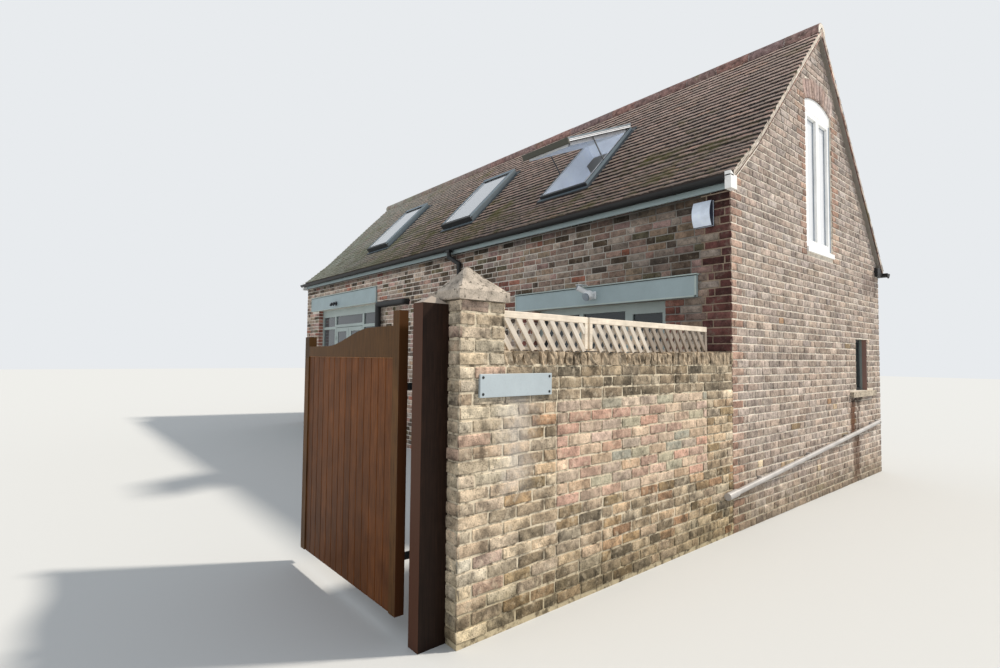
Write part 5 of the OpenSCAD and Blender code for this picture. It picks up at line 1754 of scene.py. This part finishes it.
class OAST_OT_back(bpy.types.Operator):
    """Lay the bricks of the back wall"""
    bl_idname = "oast.back"
    bl_label = "Lay the back"
    bl_options = {"REGISTER", "UNDO"}

    def execute(self, context):
        lay_back()
        return {"FINISHED"}


class OAST_OT_reveals(bpy.types.Operator):
    """Lay the bricks inside the front openings"""
    bl_idname = "oast.reveals"
    bl_label = "Lay the reveals"
    bl_options = {"REGISTER", "UNDO"}

    def execute(self, context):
        lay_reveals()
        return {"FINISHED"}


class OAST_OT_arches(bpy.types.Operator):
    """Set the arch bricks over the gable windows"""
    bl_idname = "oast.arches"
    bl_label = "Turn the arches"
    bl_options = {"REGISTER", "UNDO"}

    def execute(self, context):
        lay_arches()
        return {"FINISHED"}


class OAST_OT_yard_wall(bpy.types.Operator):
    """Lay the bricks of the yard wall and pier"""
    bl_idname = "oast.yard_wall"
    bl_label = "Lay the yard wall"
    bl_options = {"REGISTER", "UNDO"}

    def execute(self, context):
        lay_yard_wall()
        return {"FINISHED"}


class OAST_OT_coping(bpy.types.Operator):
    """Lay the brick-on-edge coping and its bedding"""
    bl_idname = "oast.coping"
    bl_label = "Lay the coping"
    bl_options = {"REGISTER", "UNDO"}

    def execute(self, context):
        lay_coping()
        return {"FINISHED"}


class OAST_OT_cap(bpy.types.Operator):
    """Cut the worn stone cap of the pier"""
    bl_idname = "oast.cap"
    bl_label = "Cut the pier cap"
    bl_options = {"REGISTER", "UNDO"}

    def execute(self, context):
        cut_cap()
        return {"FINISHED"}


class OAST_OT_plate(bpy.types.Operator):
    """Fix the bare plate to the yard wall"""
    bl_idname = "oast.plate"
    bl_label = "Fix the plate"
    bl_options = {"REGISTER", "UNDO"}

    def execute(self, context):
        fit_plate()
        return {"FINISHED"}


class OAST_OT_tiles(bpy.types.Operator):
    """Lay the clay tiles of both slopes"""
    bl_idname = "oast.tiles"
    bl_label = "Tile the roof"
    bl_options = {"REGISTER", "UNDO"}

    def execute(self, context):
        lay_tiles()
        return {"FINISHED"}


class OAST_OT_verges(bpy.types.Operator):
    """Lay the tile ends that show at the gables"""
    bl_idname = "oast.verges"
    bl_label = "Lay the verges"
    bl_options = {"REGISTER", "UNDO"}

    def execute(self, context):
        lay_verge()
        return {"FINISHED"}


class OAST_OT_ridge(bpy.types.Operator):
    """Lay the half-round ridge tiles and their mortar"""
    bl_idname = "oast.ridge"
    bl_label = "Lay the ridge"
    bl_options = {"REGISTER", "UNDO"}

    def execute(self, context):
        lay_ridge()
        return {"FINISHED"}


class OAST_OT_rooflights(bpy.types.Operator):
    """Fit linings, covers and rails to the rooflights"""
    bl_idname = "oast.rooflights"
    bl_label = "Trim the rooflights"
    bl_options = {"REGISTER", "UNDO"}

    def execute(self, context):
        trim_rooflights()
        return {"FINISHED"}


class OAST_OT_gable_windows(bpy.types.Operator):
    """Fit casements and beads to the gable windows"""
    bl_idname = "oast.gable_windows"
    bl_label = "Trim the gable windows"
    bl_options = {"REGISTER", "UNDO"}

    def execute(self, context):
        trim_gable_windows()
        return {"FINISHED"}


class OAST_OT_lintels(bpy.types.Operator):
    """Fit edges and a drip ledge to the lintel boards"""
    bl_idname = "oast.lintels"
    bl_label = "Trim the lintels"
    bl_options = {"REGISTER", "UNDO"}

    def execute(self, context):
        trim_lintels()
        return {"FINISHED"}


class OAST_OT_trellis(bpy.types.Operator):
    """Build the two lattice panels on the yard wall"""
    bl_idname = "oast.trellis"
    bl_label = "Build the trellis"
    bl_options = {"REGISTER", "UNDO"}

    def execute(self, context):
        build_trellis()
        return {"FINISHED"}


class OAST_OT_lamps(bpy.types.Operator):
    """Hang the two lamps on the lintel boards"""
    bl_idname = "oast.lamps"
    bl_label = "Hang the lamps"
    bl_options = {"REGISTER", "UNDO"}

    def execute(self, context):
        fit_lamps()
        return {"FINISHED"}


class OAST_OT_alarm(bpy.types.Operator):
    """Fit the bare bell box under the eaves"""
    bl_idname = "oast.alarm"
    bl_label = "Fit the bell box"
    bl_options = {"REGISTER", "UNDO"}

    def execute(self, context):
        fit_alarm()
        return {"FINISHED"}


class OAST_OT_small_window(bpy.types.Operator):
    """Fit pane, frame and sides to the small window"""
    bl_idname = "oast.small_window"
    bl_label = "Fit the small window"
    bl_options = {"REGISTER", "UNDO"}

    def execute(self, context):
        fit_window_panel()
        return {"FINISHED"}


class OAST_OT_eaves(bpy.types.Operator):
    """Box in both ends of the front eaves"""
    bl_idname = "oast.eaves"
    bl_label = "Box the eaves"
    bl_options = {"REGISTER", "UNDO"}

    def execute(self, context):
        box_eaves()
        return {"FINISHED"}


class OAST_OT_back_gutter(bpy.types.Operator):
    """Close the ends of the back gutter and eaves"""
    bl_idname = "oast.back_gutter"
    bl_label = "End the back gutter"
    bl_options = {"REGISTER", "UNDO"}

    def execute(self, context):
        end_back_gutter()
        return {"FINISHED"}


class OAST_OT_gate(bpy.types.Operator):
    """Board the face of the gate"""
    bl_idname = "oast.gate"
    bl_label = "Board the gate"
    bl_options = {"REGISTER", "UNDO"}

    def execute(self, context):
        board_gate()
        return {"FINISHED"}


OPERATORS = (
    OAST_OT_stage, OAST_OT_solids, OAST_OT_front, OAST_OT_gables, OAST_OT_back, OAST_OT_reveals,
    OAST_OT_arches, OAST_OT_yard_wall, OAST_OT_coping, OAST_OT_cap, OAST_OT_plate,
    OAST_OT_tiles, OAST_OT_verges, OAST_OT_ridge, OAST_OT_rooflights, OAST_OT_gable_windows,
    OAST_OT_lintels, OAST_OT_trellis, OAST_OT_lamps, OAST_OT_alarm, OAST_OT_small_window,
    OAST_OT_eaves, OAST_OT_back_gutter, OAST_OT_gate,
)


class OAST_PT_panel(bpy.types.Panel):
    bl_label = "Oast house"
    bl_idname = "OAST_PT_panel"
    bl_space_type = "VIEW_3D"
    bl_region_type = "UI"
    bl_category = "Oast house"

    def draw(self, context):
        for group in (context.scene.oast_sizes, context.scene.oast_colours):
            box = self.layout.box()
            for key in group.bl_rna.properties.keys():
                if key not in ("rna_type", "name"):
                    box.prop(group, key)
        for op in OPERATORS:
            self.layout.operator(op.bl_idname)


CLASSES = (OastSizes, OastColours, *OPERATORS, OAST_PT_panel)


def register():
    for cls in CLASSES:
        bpy.utils.register_class(cls)
    bpy.types.Scene.oast_sizes = bpy.props.PointerProperty(type=OastSizes)
    bpy.types.Scene.oast_colours = bpy.props.PointerProperty(type=OastColours)


def unregister():
    del bpy.types.Scene.oast_colours
    del bpy.types.Scene.oast_sizes
    for cls in reversed(CLASSES):
        bpy.utils.unregister_class(cls)


def main():
    register()
    bpy.ops.oast.stage()
    bpy.ops.oast.solids()
    bpy.ops.oast.front()
    bpy.ops.oast.gables()
    bpy.ops.oast.back()
    bpy.ops.oast.reveals()
    bpy.ops.oast.arches()
    bpy.ops.oast.yard_wall()
    bpy.ops.oast.coping()
    bpy.ops.oast.cap()
    bpy.ops.oast.plate()
    bpy.ops.oast.tiles()
    bpy.ops.oast.verges()
    bpy.ops.oast.ridge()
    bpy.ops.oast.rooflights()
    bpy.ops.oast.gable_windows()
    bpy.ops.oast.lintels()
    bpy.ops.oast.trellis()
    bpy.ops.oast.lamps()
    bpy.ops.oast.alarm()
    bpy.ops.oast.small_window()
    bpy.ops.oast.eaves()
    bpy.ops.oast.back_gutter()
    bpy.ops.oast.gate()


if __name__ == "__main__":
    main()
